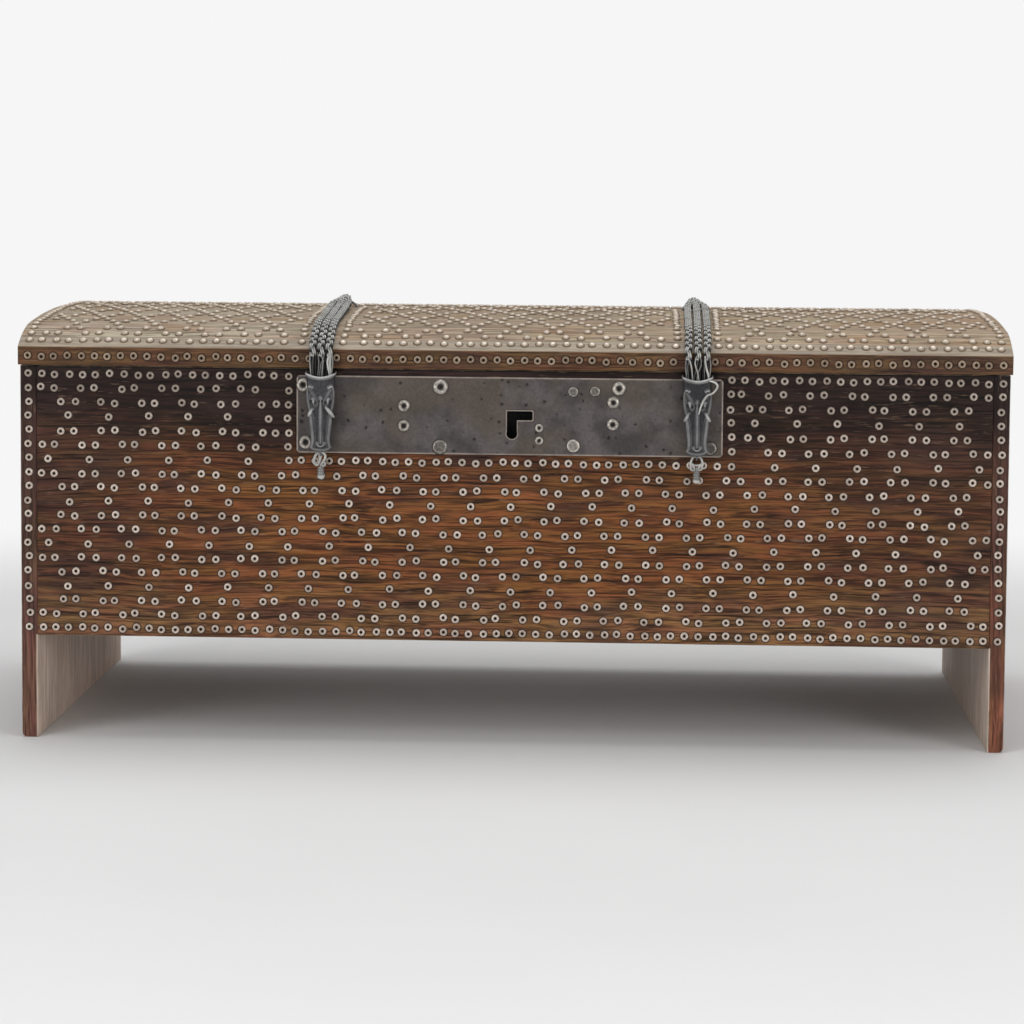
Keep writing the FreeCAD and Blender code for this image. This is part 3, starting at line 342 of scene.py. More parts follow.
@dataclass(frozen=True)
class WoodFinish:
    """Old oiled or dry wood."""

    name: str
    base: Colour
    grain: Axis = Axis.X
    fades: tuple[Fade, ...] = ()
    covers: tuple[Fade, ...] = ()
    dark: tuple[float, float, float] = (0.46, 0.42, 0.42)
    light: tuple[float, float, float] = (1.6, 1.5, 1.35)
    red: tuple[float, float, float] = (1.04, 0.9, 0.96)
    yellow: tuple[float, float, float] = (1.0, 1.08, 0.9)
    streaks: float = 0.6
    patch: Colour = rgb(60, 44, 43)
    patches: float = 0.5
    scuff: Colour = rgb(150, 122, 100)
    scuffs: float = 0.3
    wear_and_light: Colour = rgb(140, 118, 96)
    roughness: float = 0.6
    specular: float = 0.2
    relief: float = 0.5
    depth: float = 0.8 * MM

    def build(self) -> Material:
        """Make the material.

        Returns:
            The material.
        """
        material, net, shader = new_material(self.name)
        place = net.place()
        apart = net.add("ShaderNodeSeparateXYZ", {0: place}).outputs
        order = {Axis.X: (0, 1, 2), Axis.Y: (1, 0, 2), Axis.Z: (2, 0, 1)}[self.grain]
        turned = net.add("ShaderNodeCombineXYZ", {n: apart[axis] for n, axis in enumerate(order)}).outputs[0]
        grain = Grain().use(net, turned)
        drift = net.math("MULTIPLY", net.math("SUBTRACT", net.noise(place, 9, 3, 0.6), 0.5), 0.12)
        colour = net.add("ShaderNodeRGB").outputs[0]
        colour.default_value = self.base
        for fade in self.fades:
            colour = net.mix(fade.reach(net, apart, drift), colour, fade.colour)
        hue = net.mix(grain["Hue"], (*self.red, 1), (*self.yellow, 1))
        shade = net.mix(grain["Fibre"], (*self.dark, 1), (*self.light, 1))
        colour = net.vector("MULTIPLY", colour, net.vector("MULTIPLY", hue, shade))
        colour = net.mix(net.math("MULTIPLY", grain["Patch"], self.patches), colour, self.patch)
        dark = net.math("SUBTRACT", 1.0, net.math("MULTIPLY", grain["Streak"], self.streaks))
        dark = net.math("MULTIPLY", dark, net.between(grain["Line"], 0, 1, 1, 1 - self.streaks))
        colour = net.scale(colour, dark)
        mild = net.between(grain["Fibre"], 0, 1, 0.78, 1.16)
        for cover in self.covers:
            colour = net.mix(cover.reach(net, apart, drift), colour, net.scale(cover.colour, mild))
        colour = net.mix(net.math("MULTIPLY", grain["Scuff"], self.scuffs), colour, self.scuff)
        rubbed = net.math("MULTIPLY", net.attribute("wear_and_light"), Rubbing().use(net, place)["Broken"])
        colour = net.mix(rubbed, colour, self.wear_and_light)
        height = net.math("SUBTRACT", grain["Fibre"], net.math("MULTIPLY", grain["Streak"], 0.35))
        net.fill(shader, {
            "Base Color": colour,
            "Specular IOR Level": self.specular,
            "Roughness": net.between(grain["Patch"], 0, 1, self.roughness, self.roughness + 0.15),
            "Normal": net.bump(height, self.relief, self.depth),
        })
        return material


@dataclass(frozen=True)
class IronFinish:
    """Old iron: clouded, mottled and pitted, with paler rubbed edges; on the hasps the pale colour also
    paints highlights.
    """

    name: str
    dark: Colour
    light: Colour
    wear_and_light: Colour
    pits: float = 0.6
    breaks: float = 1.0
    tint: Colour = rgb(86, 76, 65)
    tints: float = 0.0
    speckle: float = 0.28
    metallic: float = 0.3
    roughness: float = 0.55
    relief: float = 0.35
    depth: float = 0.6 * MM

    def build(self) -> Material:
        """Make the material.

        Returns:
            The material.
        """
        material, net, shader = new_material(self.name)
        place = net.place()
        rust = Corrosion().use(net, place)
        colour = net.mix(rust["Cloud"], self.dark, self.light)
        tinted = net.between(net.noise(place, 9, 3, 0.6), 0.45, 0.62, 0, self.tints)
        colour = net.mix(tinted, colour, self.tint)
        colour = net.scale(colour, net.between(rust["Mottle"], 0.3, 0.7, 1 - self.speckle, 1 + self.speckle))
        colour = net.scale(colour, net.between(rust["Pit"], 0, 1, 1, 1 - self.pits))
        broken = net.between(Rubbing().use(net, place)["Broken"], 0, 1, 1 - self.breaks, 1)
        # The attribute mixes in the pale colour: rubbed wear, and on the hasps also painted highlights.
        rubbed = net.math("MULTIPLY", net.attribute("wear_and_light"), broken)
        colour = net.mix(rubbed, colour, self.wear_and_light)
        height = net.math("SUBTRACT", net.math("MULTIPLY", rust["Mottle"], 0.5), rust["Pit"])
        net.fill(shader, {
            "Base Color": colour,
            "Metallic": self.metallic,
            "Roughness": net.between(rust["Mottle"], 0.3, 0.7, self.roughness + 0.12, self.roughness - 0.08),
            "Normal": net.bump(height, self.relief, self.depth),
        })
        return material


@dataclass(frozen=True)
class HeadFinish:
    """Worn metal nail heads: a bright ring between a dark skirt and a dark dimple.

    The dark colour is grime and painted shade: the skirt paints a shadow ring round each head, and on
    the dome the shadow under it; the dimple paints the shade in its hollow. Over a band of heights the
    heads are made darker by a given share: painted shade under the lid's overhang.
    """

    name: str
    metal: Colour
    tarnish: Colour
    grime_and_shade: Colour
    lid_shade: float = 1.0
    blotches: float = 0.24
    metallic: float = 0.4
    roughness: float = 0.45
    lid_shade_band: tuple[float, float] = (330 * MM, 420 * MM)
    depth: float = 0.3 * MM

    def build(self) -> Material:
        """Make the material.

        Returns:
            The material.
        """
        material, net, shader = new_material(self.name)
        place = net.place()
        rust = Corrosion().use(net, place)
        metal = net.mix(net.attribute("shade"), self.tarnish, self.metal)
        blotch = net.between(rust["Mottle"], 0.36, 0.64, 1 - self.blotches, 1 + self.blotches / 2)
        metal = net.scale(metal, blotch)
        # Painted shade: heads over the band of heights under the lid's overhang are made darker.
        height = net.add("ShaderNodeSeparateXYZ", {0: place}).outputs[2]
        metal = net.scale(metal, net.between(height, *self.lid_shade_band, 1, self.lid_shade))
        # Where bright is low a head takes its dark colour: grime, with painted shade in the dimple and a
        # painted shadow on the skirt.
        bright = net.attribute("bright")
        net.fill(shader, {
            "Base Color": net.mix(bright, self.grime_and_shade, metal),
            "Metallic": net.math("MULTIPLY", bright, self.metallic),
            "Roughness": net.between(bright, 0, 1, 0.8, self.roughness),
            "Specular IOR Level": net.between(bright, 0, 1, 0.06, 0.5),
            "Normal": net.bump(rust["Mottle"], 0.25, self.depth),
        })
        return material


def to_mesh(bm: BMesh, name: str, crease: float = 35) -> Mesh:
    """Close a bmesh as a smooth-shaded mesh with outward normals.

    Args:
        bm: the bmesh, freed afterwards.
        name: the mesh's name.
        crease: edges sharper than this many degrees stay sharp.

    Returns:
        The mesh.
    """
    bmesh.ops.recalc_face_normals(bm, faces=bm.faces)
    for face in bm.faces:
        face.smooth = True
    for edge in bm.edges:
        edge.smooth = edge.calc_face_angle(math.pi) < math.radians(crease)
    mesh = bpy.data.meshes.new(name)
    bm.to_mesh(mesh)
    bm.free()
    return mesh


def shown(name: str, data: ID) -> Object:
    """Put a mesh or curve in the scene as an object."""
    thing = bpy.data.objects.new(name, data)
    bpy.context.scene.collection.objects.link(thing)
    return thing


def settled(thing: Object) -> Mesh:
    """The mesh of an object with its modifiers applied; the object goes.

    Args:
        thing: the object, taken out of the scene.

    Returns:
        The mesh.
    """
    graph = bpy.context.evaluated_depsgraph_get()
    mesh = bpy.data.meshes.new_from_object(thing.evaluated_get(graph), depsgraph=graph)
    bpy.data.objects.remove(thing)
    return mesh


def carved(mesh: Mesh, cutters: Iterable[Mesh]) -> Mesh:
    """Cut closed meshes out of a mesh.

    Args:
        mesh: the closed mesh that is cut.
        cutters: what is cut out of it.

    Returns:
        The mesh that is left.
    """
    base = shown("blank", mesh)
    tools = [shown(f"cutter_{n}", cutter) for n, cutter in enumerate(cutters)]
    for tool in tools:
        cut = base.modifiers.new(tool.name, "BOOLEAN")
        cut.operation, cut.solver, cut.object = "DIFFERENCE", "EXACT", tool
    result = settled(base)
    for tool in tools:
        bpy.data.objects.remove(tool)
    return result


def add_block(bm: BMesh, low: Vector, high: Vector) -> None:
    """Make a new bmesh a plain block between two corners."""
    bmesh.ops.create_cube(bm, size=1)
    bmesh.ops.scale(bm, vec=high - low, verts=bm.verts)
    bmesh.ops.translate(bm, vec=(low + high) / 2, verts=bm.verts)


def cut_block(low: Spot, high: Spot) -> Mesh:
    """A plain block between two corners, used only to cut with."""
    bm = bmesh.new()
    add_block(bm, Vector(low), Vector(high))
    return to_mesh(bm, "block")


def bevelled(
    bm: BMesh, edges: list[BMEdge], size: float, segments: int, clamp: bool = False
) -> dict:
    """Round some edges of a bmesh.

    Args:
        bm: the bmesh.
        edges: its edges to round.
        size: how far the rounding reaches.
        segments: how many faces it has across.
        clamp: whether it stops where it meets another.

    Returns:
        The new vertices, edges and faces by name.
    """
    return bmesh.ops.bevel(
        bm, geom=edges, offset=size, segments=segments, profile=0.5, affect="EDGES", material=-1,
        clamp_overlap=clamp,
    )


def divided(bm: BMesh, low: Vector, high: Vector, axes: Iterable[int], cell: float) -> None:
    """Cut a bmesh's faces into even cells, so that they can be made uneven.

    Args:
        bm: the bmesh.
        low: its low corner.
        high: its high corner.
        axes: the axes that the cuts stand across.
        cell: the smallest distance between two cuts.
    """
    for axis in axes:
        count = int((high[axis] - low[axis]) // cell)
        for step in range(1, count):
            spot, normal = Vector((0, 0, 0)), Vector((0, 0, 0))
            spot[axis] = low[axis] + (high[axis] - low[axis]) * step / count
            normal[axis] = 1
            geom = [*bm.verts, *bm.edges, *bm.faces]
            bmesh.ops.bisect_plane(bm, geom=geom, plane_co=spot, plane_no=normal, dist=CLOSE)


def spun(bm: BMesh, line: list[BMVert], steps: int, middle: Spot = (0, 0, 0)) -> None:
    """Turn a line of vertices into a round surface about an upright axis.

    Args:
        bm: the bmesh that holds the vertices.
        line: the vertices in their order.
        steps: how many segments the surface has.
        middle: a place on the axis.
    """
    edges = [bm.edges.new(pair) for pair in zip(line, line[1:])]
    bmesh.ops.spin(
        bm, geom=[*line, *edges], cent=middle, axis=(0, 0, 1), angle=2 * math.pi, steps=steps, use_merge=True
    )
    bmesh.ops.remove_doubles(bm, verts=bm.verts, dist=CLOSE)


@dataclass(frozen=True)
class Rod:
    """One bent rod or wire: a smooth line through control points, with a radius at each."""

    points: Points
    radii: tuple[float, ...]
    closed: bool = False
    # How pale the rod is drawn: rubbed wear and painted highlights, and painted shade where it is low.
    shine: float = 0.5


def rods(
    name: str, parts: Iterable[Rod], sides: int = 2, steps: int = 6, exact: bool = False
) -> Mesh:
    """The mesh of several rods.

    Args:
        name: the mesh's name.
        parts: the rods.
        sides: how round they are; 1 is six-sided.
        steps: divisions between two control points.
        exact: whether the line goes straight from point to point.

    Returns:
        One mesh.
    """
    curve = bpy.data.curves.new(name, "CURVE")
    curve.dimensions = "3D"
    curve.bevel_depth = 1
    curve.bevel_resolution = sides
    curve.resolution_u = steps
    curve.use_fill_caps = True
    for part in parts:
        spline = curve.splines.new("POLY" if exact else "NURBS")
        spline.points.add(len(part.points) - 1)
        radii = part.radii if len(part.radii) > 1 else part.radii * len(part.points)
        for point, spot, radius in zip(spline.points, part.points, radii):
            point.co = (*spot, 1)
            point.radius = radius
        if not exact:
            spline.order_u = 3
            spline.use_endpoint_u = not part.closed
        spline.use_cyclic_u = part.closed
    return settled(shown(name, curve))


def shaded_rods(name: str, parts: Iterable[Rod], **form) -> Mesh:
    """The mesh of several rods, each with its own shine in the attribute for wear and painted light.

    Args:
        name: the mesh's name.
        parts: the rods.
        form: sides, steps and exact, as rods takes them.

    Returns:
        One mesh.
    """
    bm = bmesh.new()
    wear_and_light = bm.verts.layers.float.new("wear_and_light")
    for part in parts:
        before = len(bm.verts)
        bm.from_mesh(rods(name, [part], **form))
        bm.verts.ensure_lookup_table()
        for vertex in bm.verts[before:]:
            vertex[wear_and_light] = part.shine
    return to_mesh(bm, name, 60)


def drawn_out(bm: BMesh, outline: Points, way: Spot) -> None:
    """Add a flat face through places in their order and draw it out into a solid.

    Args:
        bm: the bmesh to add to.
        outline: the places round the face.
        way: how far the face is drawn out.
    """
    face = bm.faces.new([bm.verts.new(spot) for spot in outline])
    grown = bmesh.ops.extrude_face_region(bm, geom=[face])["geom"]
    moved = [item for item in grown if isinstance(item, BMVert)]
    bmesh.ops.translate(bm, vec=way, verts=moved)
    bmesh.ops.recalc_face_normals(bm, faces=bm.faces)


def line_through(points: Points, steps: int) -> list[Vector]:
    """Places along the smooth line that the control points give.

    Args:
        points: the control points.
        steps: divisions between two control points.

    Returns:
        The places in their order.
    """
    curve = bpy.data.curves.new("route", "CURVE")
    curve.dimensions = "3D"
    curve.resolution_u = steps
    spline = curve.splines.new("NURBS")
    spline.points.add(len(points) - 1)
    for point, spot in zip(spline.points, points):
        point.co = (*spot, 1)
    spline.order_u = 3
    spline.use_endpoint_u = True
    mesh = settled(shown("route", curve))
    return [vertex.co.copy() for vertex in mesh.vertices]


@dataclass
class Maker:
    """Puts finished meshes on the chest as pieces that ride on its bodies."""

    count: int = 0

    def add(
        self,
        name: str,
        mesh: Mesh,
        finish: Material,
        slot: str,
        body: str | None,
        nodes: Sequence[str] = (),
    ) -> Object:
        """Add one piece.

        Args:
            name: the piece's name.
            mesh: its mesh.
            finish: its material.
            slot: the record's material slot; not used.
            body: the body it rides on, or None for a piece that spans two bodies and rides on neither.
            nodes: the solids that it stands for.

        Returns:
            The piece.
        """
        mesh.materials.clear()
        mesh.materials.append(finish)
        piece = shown(name, mesh)
        if body:
            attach(piece, body)
        if nodes:
            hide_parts(*nodes)
        self.count += 1
        log.info("%s: %d faces", name, len(mesh.polygons))
        return piece

    @staticmethod
    def dress(finish: Material, *nodes: str) -> None:
        """Give solids that are right as they are a finish.

        Args:
            finish: the material.
            nodes: the solids.
        """
        for node in nodes:
            thing = frame["nodes"][node]
            if not thing.material_slots:
                thing.data.materials.append(finish)
            for held in thing.material_slots:
                held.material = finish


@dataclass(frozen=True)
class Plank:
    """One board: an outline across the chest, drawn out along it, with rubbed arrises.

    The value foot rounds the outer bottom edge, and foot_side says on which side of the chest it is.
    """

    outline: tuple[tuple[float, float], ...]
    left: float
    right: float
    arris: float = 0.9 * MM
    cell: float = 24 * MM
    wave: float = 0.18 * MM
    rub: float = 1
    foot: float = 0
    foot_side: int = 0
    sharp_angle: float = 28
    wave_scale: float = 14
    nick_scale: float = 60

    @staticmethod
    def rectangle(low: Vector, high: Vector, **sizes) -> "Plank":
        """A board with a rectangular outline between two corners."""
        outline = ((low.y, low.z), (high.y, low.z), (high.y, high.z), (low.y, high.z))
        return Plank(outline, low.x, high.x, **sizes)

    def build(self, name: str) -> Mesh:
        """Make the board's mesh, with its arrises marked in the attribute worn.

        Args:
            name: the mesh's name.

        Returns:
            The mesh.
        """
        bm = bmesh.new()
        wear_and_light = bm.verts.layers.float.new("wear_and_light")
        drawn_out(bm, [(self.left, y, z) for y, z in self.outline], (self.right - self.left, 0, 0))
        if self.foot:
            bottom = min(z for _, z in self.outline)
            outer = self.left if self.foot_side < 0 else self.right
            edges = [
                edge for edge in bm.edges
                if all(abs(v.co.z - bottom) < CLOSE and abs(v.co.x - outer) < CLOSE for v in edge.verts)
            ]
            bevelled(bm, edges, self.foot, 5)
        sharp = [edge for edge in bm.edges if edge.calc_face_angle(0) > math.radians(self.sharp_angle)]
        made = bevelled(bm, sharp, self.arris, 3, clamp=True)
        strip = set(made["faces"])
        for vertex in made["verts"]:
            if all(held in strip for held in vertex.link_faces):
                vertex[wear_and_light] = self.rub
        low = Vector(map(min, zip(*(v.co for v in bm.verts))))
        high = Vector(map(max, zip(*(v.co for v in bm.verts))))
        divided(bm, low, high, range(3), self.cell)
        bm.normal_update()
        for vertex in bm.verts:
            rough = noise.noise(vertex.co * self.wave_scale) * self.wave
            nick = max(0.0, noise.noise(vertex.co * self.nick_scale)) * self.arris * vertex[wear_and_light]
            vertex.co += vertex.normal * (rough - nick)
        return to_mesh(bm, name, 40)


def section_arc(
    centre: tuple[float, float], radius: float, first: float, last: float, steps: int
) -> list[tuple[float, float]]:
    """Places on an arc across the chest.

    Args:
        centre: its centre, from front to back and up.
        radius: its radius.
        first: the angle it starts at, in degrees from straight up towards the back.
        last: the angle it ends at.
        steps: how many divisions it has.

    Returns:
        The places, both ends included.
    """
    spots = []
    for step in range(steps + 1):
        angle = math.radians(first + (last - first) * step / steps)
        spots.append((centre[0] + radius * math.sin(angle), centre[1] + radius * math.cos(angle)))
    return spots


@dataclass(frozen=True)
class Box:
    """The boarded body: front, back, ends that run down as legs, floor and cleats."""

    overrun: float = 4 * MM
    foot_round: float = 6 * MM
    channel_height: float = 14 * MM
    room_half_width: float = 22 * MM
    room_height: float = 44 * MM
    slot_half_width: float = 4 * MM
    slot_drop: float = 76 * MM
    channel_end: float = 4 * MM
    channel_drop: float = 92 * MM
    key_room_radius: float = 26 * MM
    joint_inside: float = 5 * MM

    def build(self, maker: Maker, woods: dict[str, Material], hasps: dict[str, float]) -> None:
        """Make the boards.

        Args:
            maker: adds the pieces.
            woods: the wood finishes by name.
            hasps: each hasp's place along the chest.
        """
        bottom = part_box("front_board")[0].z
        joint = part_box("front_board")[1].x + self.joint_inside
        joint_depth = -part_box("front_board")[1].y
        for side, sign in SIDES.items():
            node = f"{side}_end_board"
            plank = Plank.rectangle(*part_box(node), foot=self.foot_round, foot_side=sign)
            mesh = plank.build(node)
            self.unworn(
                mesh, lambda place: place.z > bottom and place.y < -joint_depth and abs(place.x) < joint
            )
            maker.add(f"{side}_end", mesh, woods[f"{side}_end"], "end_wood", "chest", [node])
            cleat = f"{side}_floor_cleat"
            mesh = Plank.rectangle(*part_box(cleat)).build(cleat)
            maker.add(f"{side}_cleat", mesh, woods["inner_across"], "inner_wood", "chest", [cleat])
        for name, node in (("back", "back_board"), ("floor", "floor_board")):
            mesh = Plank.rectangle(*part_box(node)).build(node)
            maker.add(name, mesh, woods["inner"], "inner_wood", "chest", [node])
        low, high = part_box("front_board")
        mesh = Plank.rectangle(low, high).build("front_board")
        self.unworn(mesh, lambda place: abs(place.x) > joint - 2 * self.joint_inside)
        mesh = carved(mesh, self.mortise(low, high, hasps))
        maker.add("front", mesh, woods["front"], "front_wood", "chest", ["front_board"])

    @staticmethod
    def unworn(mesh: Mesh, where: Callable[[Vector], bool]) -> None:
        """Take the wear off a mesh's arrises where they meet another board."""
        for vertex, value in zip(mesh.vertices, mesh.attributes["wear_and_light"].data):
            if where(vertex.co):
                value.value = 0

    def mortise(self, low: Vector, high: Vector, hasps: dict[str, float]) -> list[Mesh]:
        """The rooms cut through the front board for the bolt, the tongues and the key.

        Args:
            low: the front board's low corner.
            high: its high corner.
            hasps: each hasp's place along the chest.

        Returns:
            The meshes to cut out.
        """
        outside, inside = low.y - self.overrun, high.y + self.overrun
        bottom = high.z - self.channel_drop
        reach = self.room_half_width + self.channel_end
        cuts = [(hasps["left"] - reach, hasps["right"] + reach, bottom, bottom + self.channel_height)]
        for middle in hasps.values():
            room, slot = self.room_half_width, self.slot_half_width
            cuts.append((middle - room, middle + room, bottom, bottom + self.room_height))
            cuts.append((middle - slot, middle + slot, high.z - self.slot_drop, high.z + self.overrun))
        cutters = [
            cut_block((left, outside, under), (right, inside, over)) for left, right, under, over in cuts
        ]
        openings = frame["record"]["physics"]["openings"]
        boxes = [item["box_m"] for item in openings if item["name"].startswith("keyhole")]
        middle_x, middle_z = (
            (min(box[0][axis] for box in boxes) + max(box[1][axis] for box in boxes)) / 2 for axis in (0, 2)
        )
        place = Matrix.Translation((middle_x, (outside + inside) / 2, middle_z))
        bm = bmesh.new()
        bmesh.ops.create_cone(
            bm, cap_ends=True, segments=48, radius1=self.key_room_radius, radius2=self.key_room_radius,
            depth=inside - outside, matrix=place @ Matrix.Rotation(math.pi / 2, 4, "X"),
        )
        cutters.append(to_mesh(bm, "key_room"))
        return cutters


@dataclass(frozen=True)
class Dome:
    """The domed lid's boards: rails, eaves boards, crown boards and gables."""

    corner_centre: tuple[float, float] = (187.62 * MM, 337.64 * MM)
    corner_radius: float = 150 * MM
    crown_centre: float = -1502.82 * MM
    crown_radius: float = 2000 * MM
    flat_angle: float = 5.82
    eaves_angle: float = 34
    board: float = 14 * MM
    rail: float = 19 * MM
    crown_boards: int = 3
    arc_steps: int = 10
    rail_rub: float = 0.4

    def build(self, maker: Maker, woods: dict[str, Material]) -> None:
        """Make the lid's boards.

        Args:
            maker: adds the pieces.
            woods: the wood finishes by name.
        """
        low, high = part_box("lid_front_rail")
        left, right = low.x, high.x
        outer, bottom = -low.y, low.z
        inner = outer - self.rail
        centre_y, centre_z = self.corner_centre
        joint = math.degrees(math.asin((inner - centre_y) / self.corner_radius))
        under = math.degrees(math.asin((inner - centre_y) / (self.corner_radius - self.board)))
        corner, crown = (-centre_y, centre_z), (0.0, self.crown_centre)
        radius, steps = self.corner_radius, self.arc_steps
        edge = section_arc(corner, radius, -self.eaves_angle, -joint, steps)
        rail = [(-outer, bottom), *edge, (-inner, bottom)]
        eaves = [
            *section_arc(corner, radius, -joint, -self.flat_angle, steps),
            *section_arc(corner, radius - self.board, -self.flat_angle, -under, steps),
        ]
        kinds = (("rail", rail, "rail", self.rail_rub), ("eaves_board", eaves, "dome", 0))
        for name, sign in (("front", 1), ("back", -1)):
            for kind, outline, wood, rub in kinds:
                node = f"lid_{name}_{kind}"
                placed = tuple((sign * y, z) for y, z in outline)
                mesh = Plank(placed, left, right, rub=rub).build(node)
                maker.add(f"{name}_{kind}", mesh, woods[wood], "lid_wood", "lid", [node])
        for number in range(self.crown_boards):
            first, last = (
                self.flat_angle * (2 * (number + step) / self.crown_boards - 1) for step in (0, 1)
            )
            outline = (
                *section_arc(crown, self.crown_radius, first, last, steps),
                *section_arc(crown, self.crown_radius - self.board, last, first, steps),
            )
            node = f"lid_crown_board_{number + 1}"
            mesh = Plank(outline, left, right, rub=0).build(node)
            maker.add(f"crown_board_{number + 1}", mesh, woods["dome"], "lid_wood", "lid", [node])
        maker.dress(woods["gable"], "lid_left_gable", "lid_right_gable")


@dataclass(frozen=True)
class Seat:
    """Where one nail head sits: its place, its outward direction and its radius."""

    place: Vector
    outward: Vector
    radius: float


def seats_of(node: str, rim_share: float = 0.93) -> list[Seat]:
    """Read the seats of all heads from their solids' mesh.

    Args:
        node: the node that holds the heads.
        rim_share: what lies further out than this share of the radius is a head's rim.

    Returns:
        The seats, in the order of the mesh.
    """
    bm = bmesh.new()
    bm.from_mesh(frame["nodes"][node].data)
    bmesh.ops.remove_doubles(bm, verts=bm.verts, dist=CLOSE)
    seen: set[BMVert] = set()
    seats = []
    for first in bm.verts:
        if first in seen:
            continue
        seen.add(first)
        group = [first]
        for vertex in group:
            for edge in vertex.link_edges:
                other = edge.other_vert(vertex)
                if other not in seen:
                    seen.add(other)
                    group.append(other)
        spots = np.array([vertex.co for vertex in group])
        centre = spots.mean(axis=0)
        axis = np.linalg.eigh(np.cov((spots - centre).T))[1][:, 0]
        heights = (spots - centre) @ axis
        out = np.linalg.norm(spots - centre - np.outer(heights, axis), axis=1)
        base = heights[out > rim_share * out.max()].mean()
        outward = -math.copysign(1, base) * axis
        seats.append(Seat(Vector(centre + axis * base), Vector(outward), float(out.max())))
    bm.free()
    return seats


@dataclass(frozen=True)
class HeadShape:
    """A nail head turned round its axis: (radius, height, brightness) shares of the head's radius."""

    profile: tuple[tuple[float, float, float], ...]
    segments: int = 10

    def build(self, name: str) -> Mesh:
        """Make the head's mesh on XY, one unit in radius.

        Args:
            name: the mesh's name.

        Returns:
            The mesh, with the brightness in the attribute bright.
        """
        bm = bmesh.new()
        bright = bm.verts.layers.float.new("bright")
        bm.verts.layers.float.new("shade")
        line = []
        for out, up, shine in self.profile:
            vertex = bm.verts.new((out, 0, up))
            vertex[bright] = shine
            line.append(vertex)
        spun(bm, line, self.segments)
        return to_mesh(bm, name, 80)


# Skirts lie flat and dark round each head: grime and a painted shadow ring; dark dimples are painted shade.
RING_HEAD = HeadShape(
    (
        (1.2, 0.03, 0.0), (1.0, 0.08, 0.15), (0.9, 0.34, 0.85), (0.68, 0.48, 1.0),
        (0.46, 0.36, 0.6), (0.3, 0.26, 0.0), (0.0, 0.2, 0.0),
    ),
    9,
)
BUMP_HEAD = HeadShape(
    (
        (1.12, 0.03, 0.0), (0.88, 0.12, 0.1), (0.76, 0.38, 0.6), (0.48, 0.6, 1.0),
        (0.24, 0.62, 1.0), (0.0, 0.56, 0.9),
    ),
    9,
)
FLAT_HEAD = HeadShape(
    (
        (1.12, 0.02, 0.0), (1.0, 0.06, 0.25), (0.9, 0.19, 1.0), (0.74, 0.2, 0.85),
        (0.6, 0.15, 0.45), (0.0, 0.19, 0.5),
    ),
    14,
)
CUP_HEAD = HeadShape(
    (
        (1.16, 0.02, 0.0), (1.0, 0.1, 0.4), (0.9, 0.36, 1.0), (0.7, 0.5, 1.0), (0.52, 0.38, 0.5),
        (0.38, 0.26, 0.08), (0.0, 0.2, 0.0),
    ),
    16,
)


@dataclass(frozen=True)
class Heads:
    """All heads of one kind on one face: each a little turned, tilted and shaded by itself."""

    seed: int
    tilt: float = 4
    dullest: float = 0.35

    def build(
        self, name: str, seats: Sequence[Seat], shapes: Sequence[HeadShape], shades: Sequence[float] = ()
    ) -> Mesh:
        """Make one mesh of all heads.

        Args:
            name: the mesh's name.
            seats: where the heads sit.
            shapes: one shape for each seat, or one for all.
            shades: how bright each is; left out, it is drawn by lot.

        Returns:
            The mesh.
        """
        lot = Random(self.seed)
        meshes = {shape: shape.build("head") for shape in set(shapes)}
        bm = bmesh.new()
        for number, seat in enumerate(seats):
            shape = shapes[number % len(shapes)]
            copy = meshes[shape].copy()
            lean = Matrix.Rotation(math.radians(lot.uniform(-self.tilt, self.tilt)), 4, "X")
            turn = Matrix.Rotation(lot.uniform(0, 2 * math.pi), 4, "Z")
            face = seat.outward.to_track_quat("Z", "Y").to_matrix().to_4x4()
            size = Matrix.Scale(seat.radius, 4)
            copy.transform(Matrix.Translation(seat.place) @ face @ turn @ lean @ size)
            shade = shades[number] if shades else lot.uniform(self.dullest, 1)
            copy.attributes["shade"].data.foreach_set("value", [shade] * len(copy.vertices))
            bm.from_mesh(copy)
            bpy.data.meshes.remove(copy)
        return to_mesh(bm, name, 80)


@dataclass(frozen=True)
class StudWork:
    """The dome-headed studs on the front, the lid's band and the dome."""

    seed: int = 5

    def build(
        self, maker: Maker, front: Material, band: Material, dome: Material
    ) -> None:
        """Make the studs of each face.

        Args:
            maker: adds the pieces.
            front: the finish of the front's studs.
            band: the finish of those on the lid's band.
            dome: the finish of those on the dome.
        """
        groups = (
            ("front_border_studs", "chest", front, RING_HEAD),
            ("front_field_studs", "chest", front, RING_HEAD),
            ("lid_rail_studs", "lid", band, RING_HEAD),
            ("lid_border_studs", "lid", dome, BUMP_HEAD),
            ("lid_field_studs", "lid", dome, BUMP_HEAD),
        )
        for number, (node, body, finish, shape) in enumerate(groups):
            mesh = Heads(self.seed + number).build(node, seats_of(node), [shape])
            maker.add(f"{node}_heads", mesh, finish, "stud_metal", body, [node])


